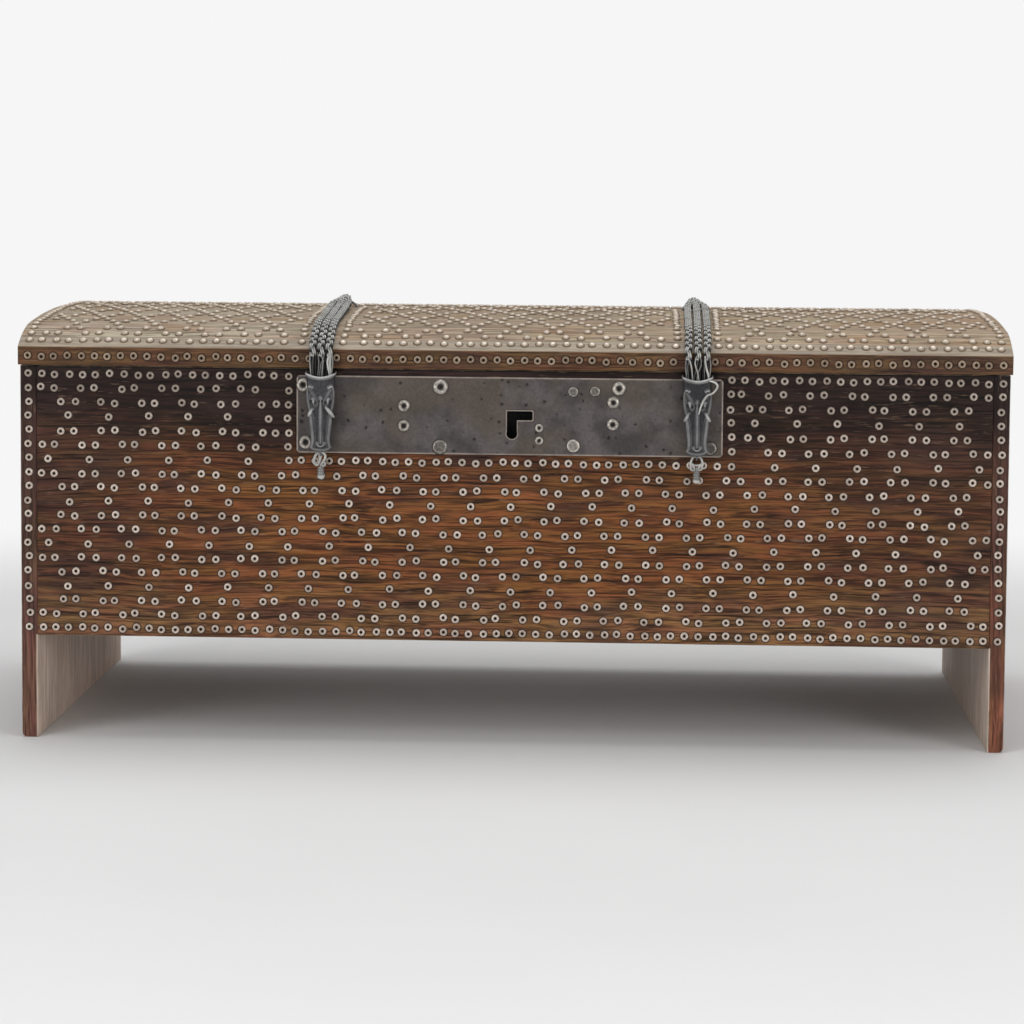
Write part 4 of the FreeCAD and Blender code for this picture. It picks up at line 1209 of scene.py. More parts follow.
@dataclass(frozen=True)
class Lock:
    """The lock plate, its rivets, and the works behind it."""

    corner: float = 4 * MM
    edge: float = 0.6 * MM
    rubbed: float = 1.5 * MM
    key_rim: float = 1.1 * MM
    key_ledge: float = 0.3 * MM
    wave: float = 0.35 * MM
    cell: float = 9 * MM
    slot_half_width: float = 4 * MM
    slot_drop: float = 76 * MM
    leg_width: float = 11.7 * MM
    key_width: float = 29.9 * MM
    key_height: float = 32.7 * MM
    arm_height: float = 10.7 * MM
    end_radius: float = 6.4 * MM
    key_left: float = -4.9 * MM
    key_top: float = 392.4 * MM
    arm_round: float = 1.6 * MM
    seam: float = 440 * MM
    overrun: float = 10 * MM
    wave_scale: float = 20
    rivet_seed: int = 31
    nail_seed: int = 32

    def build(
        self,
        maker: Maker,
        iron: Material,
        works: Material,
        heads: Material,
        hasps: dict[str, float],
    ) -> None:
        """Make the lock.

        Args:
            maker: adds the pieces.
            iron: the plate's finish.
            works: the finish of the bolt, its guides and the cover.
            heads: the finish of the rivets and nails.
            hasps: each hasp's place along the chest.
        """
        low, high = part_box("lock_plate")
        outside, inside = low.y - self.overrun, high.y + self.overrun
        cutters = [
            self.keyhole(outside, inside, 0),
            self.keyhole(outside, low.y + self.key_ledge, self.key_rim),
        ]
        for middle in hasps.values():
            left, right = middle - self.slot_half_width, middle + self.slot_half_width
            bottom = self.seam - self.slot_drop
            cutters.append(cut_block((left, outside, bottom), (right, inside, high.z + self.overrun)))
        mesh = carved(self.plate(low, high), cutters)
        for vertex, value in zip(mesh.vertices, mesh.attributes["wear_and_light"].data):
            if abs(vertex.co.y - low.y - self.key_ledge) < 0.1 * self.key_ledge:
                value.value = 1
        maker.add("plate", mesh, iron, "lock_iron", "chest", ["lock_plate"])
        seats = seats_of("lock_plate_rivets")
        looks = [self.look(seat, low, high) for seat in seats]
        shapes = [CUP_HEAD if ring else FLAT_HEAD for ring, _ in looks]
        mesh = Heads(self.rivet_seed).build("rivets", seats, shapes, [shade for _, shade in looks])
        maker.add("plate_rivets", mesh, heads, "lock_iron", "chest", ["lock_plate_rivets"])
        mesh = Heads(self.nail_seed).build("cover_nails", seats_of("lock_cover_nails"), [FLAT_HEAD])
        maker.add("cover_nails", mesh, heads, "lock_iron", "chest", ["lock_cover_nails"])
        maker.dress(works, "lock_bolt", "left_bolt_guide", "right_bolt_guide", "lock_cover")

    @staticmethod
    def look(seat: Seat, low: Vector, high: Vector) -> tuple[bool, float]:
        """Find what a rivet looks like by its place on the plate.

        Args:
            seat: the rivet's seat.
            low: the plate's low corner.
            high: its high corner.

        Returns:
            Whether it has a ring head, and how bright it is.
        """
        along = (seat.place.x - low.x) / (high.x - low.x)
        up = (seat.place.z - low.z) / (high.z - low.z)
        # Each row: shares along and up the plate, whether it has a ring head, and how bright it is
        looks = (
            (0.016, 0.877, True, 0.9), (0.022, 0.136, True, 0.85), (0.339, 0.870, True, 0.95),
            (0.338, 0.095, False, 0.4), (0.253, 0.621, True, 0.85), (0.253, 0.364, True, 0.8),
            (0.650, 0.824, False, 0.5), (0.701, 0.833, False, 0.45), (0.757, 0.872, True, 0.9),
            (0.744, 0.691, True, 0.95), (0.743, 0.409, True, 0.95), (0.651, 0.128, False, 0.9),
            (0.971, 0.116, False, 0.3), (0.571, 0.354, True, 0.9), (0.571, 0.190, True, 0.9),
        )
        nearest = min(looks, key=lambda row: math.hypot(5 * (row[0] - along), row[1] - up))
        return nearest[2], nearest[3]

    def plate(self, low: Vector, high: Vector) -> Mesh:
        """The plate before it is cut: round corners, a soft edge and a slightly uneven face.

        Args:
            low: the plate's low corner.
            high: its high corner.

        Returns:
            The mesh, with its rubbed rim marked in the attribute worn.
        """
        bm = bmesh.new()
        wear_and_light = bm.verts.layers.float.new("wear_and_light")
        add_block(bm, low, high)
        corners = [edge for edge in bm.edges if abs(edge.verts[0].co.y - edge.verts[1].co.y) > CLOSE]
        bevelled(bm, corners, self.corner, 4)
        rim = [edge for edge in bm.edges if all(vertex.co.y < low.y + CLOSE for vertex in edge.verts)]
        bevelled(bm, rim, self.edge, 3)
        bmesh.ops.recalc_face_normals(bm, faces=bm.faces)
        front = max(bm.faces, key=lambda face: -face.normal.y * face.calc_area())
        bmesh.ops.inset_region(bm, faces=[front], thickness=self.rubbed, use_even_offset=True)
        divided(bm, low, high, (0, 2), self.cell)
        for vertex in bm.verts:
            place = vertex.co
            inside = min(high.x - place.x, place.x - low.x, high.z - place.z, place.z - low.z)
            if inside < self.edge + self.rubbed / 2:
                vertex[wear_and_light] = 1
            elif place.y < low.y + CLOSE:
                place.y -= abs(noise.noise(place * self.wave_scale)) * self.wave
        return to_mesh(bm, "plate")

    def keyhole(self, near: float, far: float, grow: float) -> Mesh:
        """The keyhole's shape to cut with: a leg with a round end and an arm at its top.

        Args:
            near: where it starts, from front to back.
            far: where it ends.
            grow: how much larger it is than the hole.

        Returns:
            A closed mesh.
        """
        radius = self.end_radius + grow
        half_leg = self.leg_width / 2 + grow
        middle = self.key_left + self.leg_width / 2
        bottom = self.key_top - self.key_height + self.end_radius
        open_angle = math.degrees(math.asin(half_leg / radius))
        top, under = self.key_top + grow, self.key_top - self.arm_height - grow
        right = self.key_left + self.key_width + grow
        outline = [
            *section_arc((middle, bottom), radius, open_angle, 360 - open_angle, 12),
            (middle - half_leg, top),
            (right, top),
            (right, under),
            (middle + half_leg, under),
        ]
        bm = bmesh.new()
        drawn_out(bm, [(x, near, z) for x, z in outline], (0, far - near, 0))
        arm = [
            edge for edge in bm.edges
            if edge.calc_face_angle(0) > 1 and all(vertex.co.x > right - CLOSE for vertex in edge.verts)
            and abs(edge.verts[0].co.y - edge.verts[1].co.y) > CLOSE
        ]
        bevelled(bm, arm, self.arm_round, 3)
        return to_mesh(bm, "keyhole")


def ringed(levels: Sequence[tuple], segments: int, place: Callable) -> BMesh:
    """Join rings of vertices into a closed body.

    Args:
        levels: one row of sizes for each ring.
        segments: how many vertices a ring has.
        place: gives a vertex's place from its level and the cosine and sine of its angle.

    Returns:
        The body.
    """
    bm = bmesh.new()
    ring = bmesh.ops.create_circle(bm, segments=segments, radius=1)["verts"]
    angles = [math.atan2(vertex.co.y, vertex.co.x) for vertex in ring]
    bmesh.ops.contextual_create(bm, geom=ring)
    edges = list(bm.edges)
    for number, level in enumerate(levels):
        if number:
            grown = bmesh.ops.extrude_edge_only(bm, edges=edges)["geom"]
            ring = [item for item in grown if isinstance(item, BMVert)]
            edges = [item for item in grown if isinstance(item, BMEdge)]
        for vertex, angle in zip(ring, angles):
            vertex.co = place(level, math.cos(angle), math.sin(angle))
    bmesh.ops.contextual_create(bm, geom=edges)
    return bm


def rounded(value: float, power: float) -> float:
    """A cosine or sine bent so that a circle becomes a rounded rectangle."""
    return math.copysign(abs(value) ** power, value)


def mirrored(half: Points) -> Points:
    """Control points from the left to the middle, with those on the right added."""
    return [*half, *((-across, down, y) for across, down, y in reversed(half[:-1]))]


def oval(middle: Spot, reach: Spot, count: int = 8) -> Points:
    """Control points of an oval on the ferrule.

    Args:
        middle: its middle: across, down and from front to back.
        reach: how far it reaches each way.
        count: how many points it has.

    Returns:
        The points, from the lowest on.
    """
    turns = [math.tau * n / count for n in range(count)]
    return [
        (
            middle[0] + reach[0] * math.sin(turn),
            middle[1] + reach[1] * math.cos(turn),
            middle[2] + reach[2] * math.sin(turn),
        )
        for turn in turns
    ]


@dataclass(frozen=True)
class Hinges:
    """The two iron hinges behind and their nails."""

    seed: int = 41

    def build(self, maker: Maker, iron: Material, heads: Material) -> None:
        """Dress the hinges and make their nails.

        Args:
            maker: adds the pieces.
            iron: the finish of the leaves and pins.
            heads: the finish of the nails.
        """
        for side in SIDES:
            maker.dress(iron, f"{side}_hinge_body_leaf", f"{side}_hinge_lid_leaf", f"{side}_hinge_pin")
        for node, body in (("body_hinge_nails", "chest"), ("lid_hinge_nails", "lid")):
            mesh = Heads(self.seed).build(node, seats_of(node), [FLAT_HEAD])
            maker.add(f"{node}_heads", mesh, heads, "hinge_iron", body, [node])


@dataclass(frozen=True)
class Hasp:
    """One hasp: three braided cords from the crest, loose wires, a cast ferrule, a link and a drop.

    The value lean is how far the cords have run aside by the crest, and peak how far their last stretch
    bends aside there. Places on the ferrule and under it are across from its middle, down from its rim
    and from front to back, in millimetres.
    """

    side: str
    middle: float
    lean: float
    peak: float
    pitch: float
    strap_y: float = -281 * MM
    rim: float = 434.4 * MM
    bar: tuple[float, float] = (0, 506.18 * MM)
    peak_pitch: float = 3.2 * MM
    peak_shrink: float = 0.3
    plait_reach: float = 2.6 * MM
    plait_depth: float = 1.8 * MM
    plait_length: float = 40 * MM
    plait_sway: float = 0.9 * MM
    wire: float = 1.05 * MM
    step: float = 1.5 * MM
    staple_wire: float = 1.6 * MM
    sleeve_wire: float = 0.55 * MM
    under_wire: float = 1.7 * MM
    voxel: float = 0.5 * MM
    shine_reach: float = 2.1 * MM
    cord_points: tuple[tuple[float, float], ...] = (
        (-17, 501.4), (0, 500.7), (5.5, 504.4), (5.2, 508.8), (0, 512.0), (-9, 511.0), (-32, 505.6),
        (-120, 498.2), (-170, 493.8), (-205, 491.4), (-238, 485.5), (-262, 474.5), (-281.5, 466),
        (-281.2, 460), (-281, 454),
    )

    def build(self, maker: Maker, wire: Material, cast: Material) -> None:
        """Make the hasp's pieces.

        Args:
            maker: adds the pieces.
            wire: the finish of the wires.
            cast: the finish of the ferrule.
        """
        side = self.side
        strap, casting = f"{side}_strap", f"{side}_ferrule_body"

        def add(name: str, mesh: Mesh, body: str | None, node: str) -> Object:
            """Add one piece of this hasp: the ferrule in cast iron, all else in iron wire."""
            finish = cast if node.endswith("ferrule") else wire
            return maker.add(name, mesh, finish, "hasp_iron", body, [node])

        add(f"{side}_staple", shaded_rods("staple", [self.staple()]), "lid", f"{side}_crest_staple")
        for number in range(3):
            add(f"{side}_plait_{number + 1}", self.plait(number), strap, f"{side}_wire_cord_{number + 1}")
        mesh = shaded_rods("sleeve", [self.sleeve()], sides=1, exact=True)
        add(f"{side}_eye_winding", mesh, strap, f"{side}_hasp_eye")
        mesh = shaded_rods("loose", self.loose_wires(), sides=2)
        loose = add(f"{side}_parted_wires", mesh, None, f"{side}_loose_wires")
        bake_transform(loose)
        add(f"{side}_casting", self.ferrule(), casting, f"{side}_ferrule")
        add(f"{side}_wire_link", shaded_rods("link", self.link()), casting, f"{side}_link")
        add(f"{side}_pendant", self.drop(), f"{side}_drop_body", f"{side}_drop")
        if side == "right":
            add("bent_wire", shaded_rods("hook", [self.hook()]), casting, "right_wire_hook")

    def route(self) -> list[tuple[Vector, Vector, float]]:
        """Evenly spaced places along a cord, with the way it runs there and the share of its length.

        Returns:
            Each place, the way and the share.
        """
        line = line_through([(0, y * MM, z * MM) for y, z in self.cord_points], 22)
        total = sum((b - a).length for a, b in zip(line, line[1:]))
        step, along, places = self.step, 0.0, []
        for here, after in zip(line, line[1:]):
            length = (after - here).length
            while length > 0 and len(places) * step < along + length:
                spot = here.lerp(after, (len(places) * step - along) / length)
                places.append((spot, (after - here).normalized(), len(places) * step / total))
            along += length
        return places

    def plait(self, number: int) -> Mesh:
        """One braided cord: three strands of two wires each, painted dark as shade where they lie deep
        and pale where they stand out, as rubbed wear and painted highlight.

        Args:
            number: 0 to 2 from the left.

        Returns:
            The cord's mesh.
        """
        places = self.route()
        bar = Vector((0, *self.bar))
        total = len(places) * self.step
        spine = []
        lines = [[] for _ in range(6)]
        for spot, ahead, share in places:
            spread = min(1.0, max(0.0, (share - 0.125) / 0.12))
            outward = ahead.cross(Vector((1, 0, 0)))
            side = number - 1
            spot = bar + (spot - bar) * (1 - self.peak_shrink * abs(side) * (1 - spread))
            shift = self.middle + side * (self.peak_pitch + (self.pitch - self.peak_pitch) * spread)
            shift += self.lean * (1 - share) + self.peak * (1 - spread)
            shift += noise.noise(Vector((14 * share, 3 * number, self.middle))) * self.plait_sway * spread
            spine.append((*spot, *outward))
            tight = 1 - 0.25 * max(0.0, (share - 0.94) / 0.06)
            reach = self.plait_reach * tight * (0.55 + 0.45 * spread)
            for strand in range(3):
                turn = 2 * math.pi * (share * total / self.plait_length + strand / 3)
                slope = 2 * math.pi * reach / self.plait_length * math.cos(turn)
                way = (ahead + Vector((slope, 0, 0))).normalized()
                beside = way.cross(outward).normalized()
                centre = spot + Vector((shift + reach * math.sin(turn), 0, 0))
                centre += outward * self.plait_depth * math.sin(2 * turn)
                for n in range(2):
                    lines[2 * strand + n].append(centre + beside * (2 * n - 1) * self.wire)
        mesh = rods("plait", [Rod(line, (self.wire,)) for line in lines], sides=1, exact=True)
        # The paleness of each vertex follows how far it stands out from the nearest place of the route:
        # high wires are rubbed pale and painted as lit, deep ones painted dark as the shade between strands
        spine = np.array(spine)
        spots = np.array([vertex.co for vertex in mesh.vertices])
        nearest = ((spots[:, None, 1:3] - spine[None, :, 1:3]) ** 2).sum(axis=2).argmin(axis=1)
        lift = ((spots - spine[nearest, :3])[:, 1:] * spine[nearest, 4:]).sum(axis=1)
        deepest, highest = 0.8 * MM, self.plait_depth + self.wire
        wear_and_light = np.clip((lift - deepest) / (highest - deepest), 0, 1) * 0.9
        mesh.attributes.new("wear_and_light", "FLOAT", "POINT").data.foreach_set("value", wear_and_light.astype(np.float32))
        bm = bmesh.new()
        bm.from_mesh(mesh)
        return to_mesh(bm, "plait", 60)

    def staple(self) -> Rod:
        """The arched wire staple in the crest that the cords loop over."""
        points = ((-17, 496), (-16.5, 499.5), (-8, 505.2), (0, 507.4), (8, 505.2), (16.5, 499.5), (17, 496))
        middle = self.middle + self.lean
        return Rod([(middle + x * MM, 0, z * MM) for x, z in points], (self.staple_wire,), shine=0.35)

    def sleeve(self) -> Rod:
        """The wire wound round the staple between the cords.

        Returns:
            One rod along the winding.
        """
        turns, length, radius = 9, 11 * MM, 3.0 * MM
        points = []
        for n in range(turns * 10 + 1):
            angle = 2 * math.pi * n / 10
            x = self.middle + self.lean + self.peak + length * (n / (turns * 10) - 0.5)
            points.append((x, radius * math.sin(angle), self.bar[1] + radius * math.cos(angle)))
        return Rod(points, (self.sleeve_wire,))

    def loose_wires(self) -> list[Rod]:
        """The wires that part below the cords, cross and run down into the ferrule.

        Returns:
            The wires.
        """
        wires = []
        # Six thick dark wires with no shine lie behind: dark things that paint the shade behind the loose
        # wires.
        for across in (-11.4, -7, -2.4, 2.4, 7, 11.4):
            run = ((1, 22), (1, 16), (0.98, 8), (0.94, 0), (0.9, -10))
            points = [self.at(across * wide, -up, self.strap_y / MM + 1.8) for wide, up in run]
            wires.append(Rod(points, (self.under_wire,), shine=0))
        for tops, ups, radius, shine in LOOSE[self.side]:
            points = [self.at(x, -up, self.strap_y / MM - 0.6) for x, up in zip(tops, ups)]
            wires.append(Rod(points, (radius * MM,), shine=shine))
        return wires

    def at(self, across: float, down: float, y: float) -> tuple[float, float, float]:
        """A place on the ferrule: across from its middle and down from its rim, in millimetres."""
        return self.middle + across * MM, y * MM, self.rim - down * MM

    def ferrule(self) -> Mesh:
        """The cast ferrule: cup, volutes, lugs, rib, side bands, collar and tongue, run into one.

        Returns:
            Its mesh, with rubbed ridges marked pale in the attribute for wear and painted light: rubbed wear
            and painted highlights, strongest where they face the front.
        """
        bm = bmesh.new()
        bm.from_mesh(self.cup())
        bm.from_mesh(self.leaf())
        raised = shaded_rods("ornament", self.ornament(), sides=3, steps=8)
        bm.from_mesh(raised)
        mesh = bpy.data.meshes.new("casting")
        bm.to_mesh(mesh)
        bm.free()
        solid = shown("casting", mesh)
        remesh = solid.modifiers.new("run together", "REMESH")
        remesh.mode = "VOXEL"
        remesh.voxel_size = self.voxel
        mesh = settled(solid)
        bm = bmesh.new()
        bm.from_mesh(mesh)
        for _ in range(2):
            bmesh.ops.smooth_vert(
                bm, verts=bm.verts, factor=0.5, use_axis_x=True, use_axis_y=True, use_axis_z=True
            )
        wear_and_light = bm.verts.layers.float.new("wear_and_light")
        tree = KDTree(len(raised.vertices))
        for vertex in raised.vertices:
            tree.insert(vertex.co, vertex.index)
        tree.balance()
        shine = raised.attributes["wear_and_light"].data
        # Pale near the raised work, more where it faces the front: rubbed wear and painted highlights.
        for vertex in bm.verts:
            _, nearest, away = tree.find(vertex.co)
            near = max(0.0, 1 - away / self.shine_reach)
            vertex[wear_and_light] = shine[nearest].value * near * max(0.15, -vertex.normal.y)
        return to_mesh(bm, "casting", 60)

    def cup(self) -> Mesh:
        """The ferrule's cup: walls that widen to a mouth whose front edge dips.

        Returns:
            A closed mesh.
        """
        # Each level: down, half width, front, back, and how much of the dip it takes
        levels = (
            (31, 15.4, -284.8, -275.4, 0), (24, 16.0, -286.6, -274.8, 0), (16, 16.2, -287.6, -274.4, 0),
            (7, 16.4, -287.8, -274.2, 0.6), (2, 17.2, -288.2, -274.0, 1), (0, 17.6, -288.4, -274.0, 1),
            (0.3, 15.4, -286.4, -276.0, 1), (5, 14.4, -286.0, -276.2, 0.6), (12, 14.0, -285.8, -276.2, 0),
        )
        deepest_dip = 4.6

        def place(level: tuple, cos: float, sin: float) -> Spot:
            """A place on the rounded rectangle of one level.

            Args:
                level: the level's row.
                cos: the cosine of the place's angle.
                sin: its sine.

            Returns:
                The place.
            """
            down, half, front, back, dip = level
            across = rounded(cos, 0.45)
            fall = deepest_dip * dip * max(0.0, -sin) * (1 - (0.9 * across) ** 2)
            y = (front + back) / 2 + rounded(sin, 0.6) * (back - front) / 2
            return self.at(across * half, down + fall, y)

        return to_mesh(ringed(levels, 40, place), "cup")

    def leaf(self) -> Mesh:
        """The ferrule's leaf under the cup, from the shoulder to the collar.

        Returns:
            A closed mesh.
        """
        # Each level: down and half width
        levels = (
            (24, 15.0), (31, 15.2), (38, 14.0), (44, 13.0), (52, 12.4), (62, 11.2),
            (72, 10.0), (78, 9.6), (83, 11.0), (86, 12.2), (88.5, 11.4), (90, 8.6),
        )

        def place(level: tuple, cos: float, sin: float) -> Spot:
            """A place on the rounded rectangle of one level."""
            return self.at(rounded(cos, 0.5) * level[1], level[0], -279.2 + rounded(sin, 0.5) * 4.0)

        return to_mesh(ringed(levels, 24, place), "leaf")

    def ornament(self) -> list[Rod]:
        """The raised work on the ferrule, and the tongue and eye that are cast with it.

        Returns:
            The raised lines.
        """

        # A raised line's shine is how pale it is drawn: rubbed wear and painted highlights.
        def raised(
            spots: Points, radii: tuple[float, ...], shine: float, sign: int = 1, closed: bool = False
        ) -> Rod:
            """One raised line on the casting, mirrored where sign is -1."""
            points = [self.at(sign * across, down, y) for across, down, y in spots]
            return Rod(points, tuple(radius * MM for radius in radii), closed, shine)

        lip = (
            (-17, -2, -277), (-17.9, -0.4, -285), (-15.5, 0.6, -288.2), (-8, 3.4, -289.4), (0, 4.6, -289.7),
        )
        rib = (
            (0, 27, -285.0), (0, 33, -285.4), (0, 46, -285.4), (0, 64, -285.2), (0, 79, -284.4),
            (0, 82, -283.6),
        )
        collar = ((-12.4, 84.6, -283.6), (-9, 87.6, -284.6), (0, 89.0, -285.0))
        mark = ((-4.4, 80.8, -284.2), (-3.2, 83.6, -285.6), (0, 84.8, -286.0))
        tongue = (
            (0, 46, -277), (0, 46, -264), (0, 46.2, -260.2), (0, 50, -260), (0, 54, -260),
            (0, 57.8, -260.2), (0, 58, -264), (0, 58, -277),
        )
        parts = [
            raised(mirrored(lip), (1.0, 1.2, 1.4, 1.5, 1.5, 1.5, 1.4, 1.2, 1.0), 1.0),
            raised(rib, (0.7, 1.5, 2.0, 2.0, 1.7, 0.9), 0.4),
            raised(mirrored(collar), (1.6, 2.1, 2.2, 2.1, 1.6), 0.32),
            raised(mirrored(mark), (0.8, 1.0, 1.1, 1.0, 0.8), 0.7),
            raised(tongue, (2.0,), 0),
            raised(oval((0, 92.4, -281), (0, 3.4, 3.4)), (1.0,), 0.3, closed=True),
        ]
        band = (
            (12.0, 46, -283.2), (11.2, 54, -284.2), (10.1, 64, -284.2), (8.9, 75, -284.2),
            (9.2, 81, -284.0), (11.0, 86, -283.4),
        )
        ridge = ((13.0, 18, -287.4), (10.4, 22, -287.6), (6.8, 27, -286.8), (3.4, 33, -285.6))
        volute = ((15.4, 26, -286.0), (15.6, 18, -287.4), (13.0, 14.0, -288.2), (10.2, 15.2, -288.4))
        volute_tip = ((13.8, 14.2, -288.4), (11.6, 14.4, -289.0), (9.8, 16.0, -288.6))
        shoulder = ((15.2, 24, -285.6), (15.0, 31, -284.6), (13.6, 37, -284.2), (12.4, 43, -284.0))
        bump = ((8.2, 29.2, -285.0), (8.8, 31.5, -285.8), (8.6, 34, -285.2))
        for sign in (-1, 1):
            parts += [
                raised(band, (1.8, 2.5, 2.6, 2.3, 2.2, 1.7), 0.36, sign),
                raised(ridge, (0.7, 0.9, 1.0, 0.8), 0.3, sign),
                raised(volute, (1.2, 1.3, 1.3, 1.0), 0.3, sign),
                raised(volute_tip, (0.8, 1.2, 0.8), 0.95, sign),
                raised(shoulder, (1.4, 1.9, 1.9, 1.8), 0.25, sign),
                raised(bump, (0.9, 1.5, 0.9), 0.8, sign),
                raised(oval((5.6, 34, -284.6), (2.7, 3.4, 0)), (0.95,), 0.25, sign, True),
            ]
        left_lug = ((9.2, 40.5, -285.0), (11.0, 43, -286.6), (12.8, 47.2, -286.8), (14.2, 49.4, -285.4))
        right_lug = ((5.6, 38.6, -285.0), (8.6, 41, -286.8), (12.4, 45.6, -287.0), (16.0, 50.6, -285.4))
        small_lug = ((9.4, 41, -284.8), (11.4, 44.4, -286.6), (13.2, 48.2, -286.6), (15.4, 50.4, -285.2))
        if self.side == "right":
            parts += [raised(small_lug, (1.0, 2.2, 2.4, 1.1), 0.95, sign) for sign in (-1, 1)]
        else:
            parts.append(raised(left_lug, (1.0, 2.2, 2.6, 1.4), 0.95, -1))
            parts.append(raised(right_lug, (1.2, 2.6, 2.9, 1.2), 0.95, 1))
        return parts

    def link(self) -> list[Rod]:
        """The wire link under the ferrule: crossed loops on the left, a trapezium and loops on the right.

        Returns:
            Its loops of wire.
        """

        def loop(spots: Points, radius: float, shine: float) -> Rod:
            """One closed loop of wire."""
            return Rod([self.at(*spot) for spot in spots], (radius * MM,), closed=True, shine=shine)

        if self.side == "left":
            first = (
                (-1.5, 91.5, -281), (3.6, 92.0, -283.4), (6.4, 96, -284.0), (3.6, 101.5, -283.0),
                (-1.0, 107.2, -281), (-1.6, 100, -280),
            )
            second = (
                (1.0, 91.6, -281), (-4.4, 92.6, -282.4), (-7.6, 98, -283.0), (-7.6, 104.5, -283.2),
                (-3.6, 107.4, -282.2), (-0.6, 100, -281),
            )
            knot = ((0.6, 104.4, -282.4), (4.0, 102.4, -284.2), (6.0, 105.2, -283.6), (2.6, 108.4, -282.6))
            return [loop(first, 1.5, 0.75), loop(second, 1.6, 0.7), loop(knot, 1.4, 0.6)]
        bow = (
            (0, 91.7, -281), (4.8, 92.0, -281.4), (7.4, 100.0, -282), (6.8, 101.6, -282),
            (-6.8, 101.6, -282), (-7.4, 100.0, -282), (-4.8, 92.0, -281.4),
        )
        left = (
            (-7.0, 100, -282.2), (-3.2, 100.4, -283.8), (-2.6, 106.0, -283.2), (-1.0, 107.6, -281.4),
            (-7.2, 107.2, -282),
        )
        right = (
            (2.8, 100.6, -283.4), (6.6, 101.0, -282.2), (6.4, 106.4, -282), (0.6, 107.8, -281.4),
            (2.6, 104.6, -283.2),
        )
        return [loop(bow, 1.35, 0.75), loop(left, 1.3, 0.7), loop(right, 1.3, 0.8)]

    def drop(self) -> Mesh:
        """The small drop: a ring and a waisted body with a pale tip.

        Returns:
            Its mesh, with pale places marked in the attribute worn.
        """
        y = -281
        ring = [self.at(*spot) for spot in oval((0, 106.6, y), (0, 3, 3))]
        bm = bmesh.new()
        bm.from_mesh(shaded_rods("ring", [Rod(ring, (1.0 * MM,), closed=True)]))
        body = bmesh.new()
        wear_and_light = body.verts.layers.float.new("wear_and_light")
        # Radius, place down and paleness
        profile = (
            (0, 107.6, 0.2), (1.8, 108.0, 0.35), (3.4, 109.2, 0.45), (3.9, 111.0, 0.2), (3.6, 112.4, 0.45),
            (4.0, 113.8, 0.2), (3.8, 115.4, 0.45), (4.2, 116.8, 0.2), (4.1, 118.4, 0.5), (4.3, 120.0, 1),
            (3.6, 121.8, 1), (2.0, 122.8, 1), (0, 123.0, 1),
        )
        line = []
        for out, down, pale in profile:
            vertex = body.verts.new(self.at(out, down, y))
            vertex[wear_and_light] = pale
            line.append(vertex)
        spun(body, line, 16, self.at(0, 0, y))
        bm.from_mesh(to_mesh(body, "drop_body"))
        return to_mesh(bm, "drop", 60)

    def hook(self) -> Rod:
        """The bent wire over the right ferrule.

        Returns:
            One rod.
        """
        spots = [
            (13.4, 3.2, -290.8), (19.5, 4.0, -290.6), (23.4, 8.4, -290.6), (21.6, 13.0, -290.4),
            (16.8, 18.2, -290.4), (11.2, 19.4, -290.6), (7.4, 25.0, -290.2), (3.8, 32.5, -289.6),
            (1.6, 42.0, -288.2),
        ]
        radii = (0.9, 1.15, 1.25, 1.15, 1.0, 1.2, 1.2, 1.1, 0.7)
        return Rod([self.at(*spot) for spot in spots], tuple(radius * MM for radius in radii), shine=0.9)


# Loose wires seen in front: places across from the ferrule's middle, heights over its rim, radius and shine;
# a low shine paints shade, as in the cup's shadow, a high one rubbed wear and painted highlight
LOOSE = {
    "left": (
        ((-12.4, -13.2, -12.8, -12.0, -11.0), (25, 18, 10, 2, -10), 0.8, 0.5),
        ((-8.6, -8.8, -10.2, -9.4, -9.0), (25, 18, 10, 2, -10), 1.1, 0.06),
        ((-4.2, -3.4, -2.2, -3.6, -3.8), (25, 20, 12, 2, -10), 0.6, 0.3),
        ((-1.6, 0.8, 2.8, 1.4, 0.8), (25, 20, 15, 6, -8), 0.8, 0.4),
        ((4.4, 3.4, 1.8, -1.2, -1.8), (25, 20, 15, 9, -8), 0.7, 0.25),
        ((10.4, 7.4, 7.6, 10.2, 10.8), (25, 17, 9, -1, -10), 1.1, 0.9),
        ((11.2, 10.6, 10.2, 11.4, 11.6), (25, 17, 9, 0, -10), 1.6, 0.6),
        ((12.6, 13.6, 13.6, 12.0, 11.8), (25, 17, 9, -1, -10), 0.8, 0.35),
    ),
    "right": (
        ((-12.6, -13.8, -13.9, -13.0, -12.0), (25, 19, 11, 2, -10), 0.8, 0.3),
        ((-12.0, -9.4, -7.6, -6.2, -5.4), (25, 20, 14, 5, -10), 0.9, 0.7),
        ((-8.4, -10.6, -12.0, -11.4, -9.0), (25, 18, 11, 5, -10), 0.6, 0.2),
        ((-1.2, -3.6, -2.4, 1.0, 1.8), (25, 19, 12, 3, -10), 0.9, 0.65),
        ((2.6, 4.4, 3.4, -0.4, -1.2), (25, 18, 12, 5, -10), 0.7, 0.35),
        ((0.6, 0.6, -1.6, -4.2, -4.6), (25, 20, 9, 1, -10), 0.5, 0.15),
        ((8.6, 8.2, 10.0, 13.0, 13.2), (25, 19, 10, 1, -10), 1.2, 0.9),
        ((13.2, 14.8, 14.9, 13.6, 13.2), (25, 18, 10, 1, -10), 0.8, 0.3),
        ((11.4, 9.6, 7.6, 7.8, 8.2), (25, 20, 13, 4, -10), 0.6, 0.2),
    ),
}


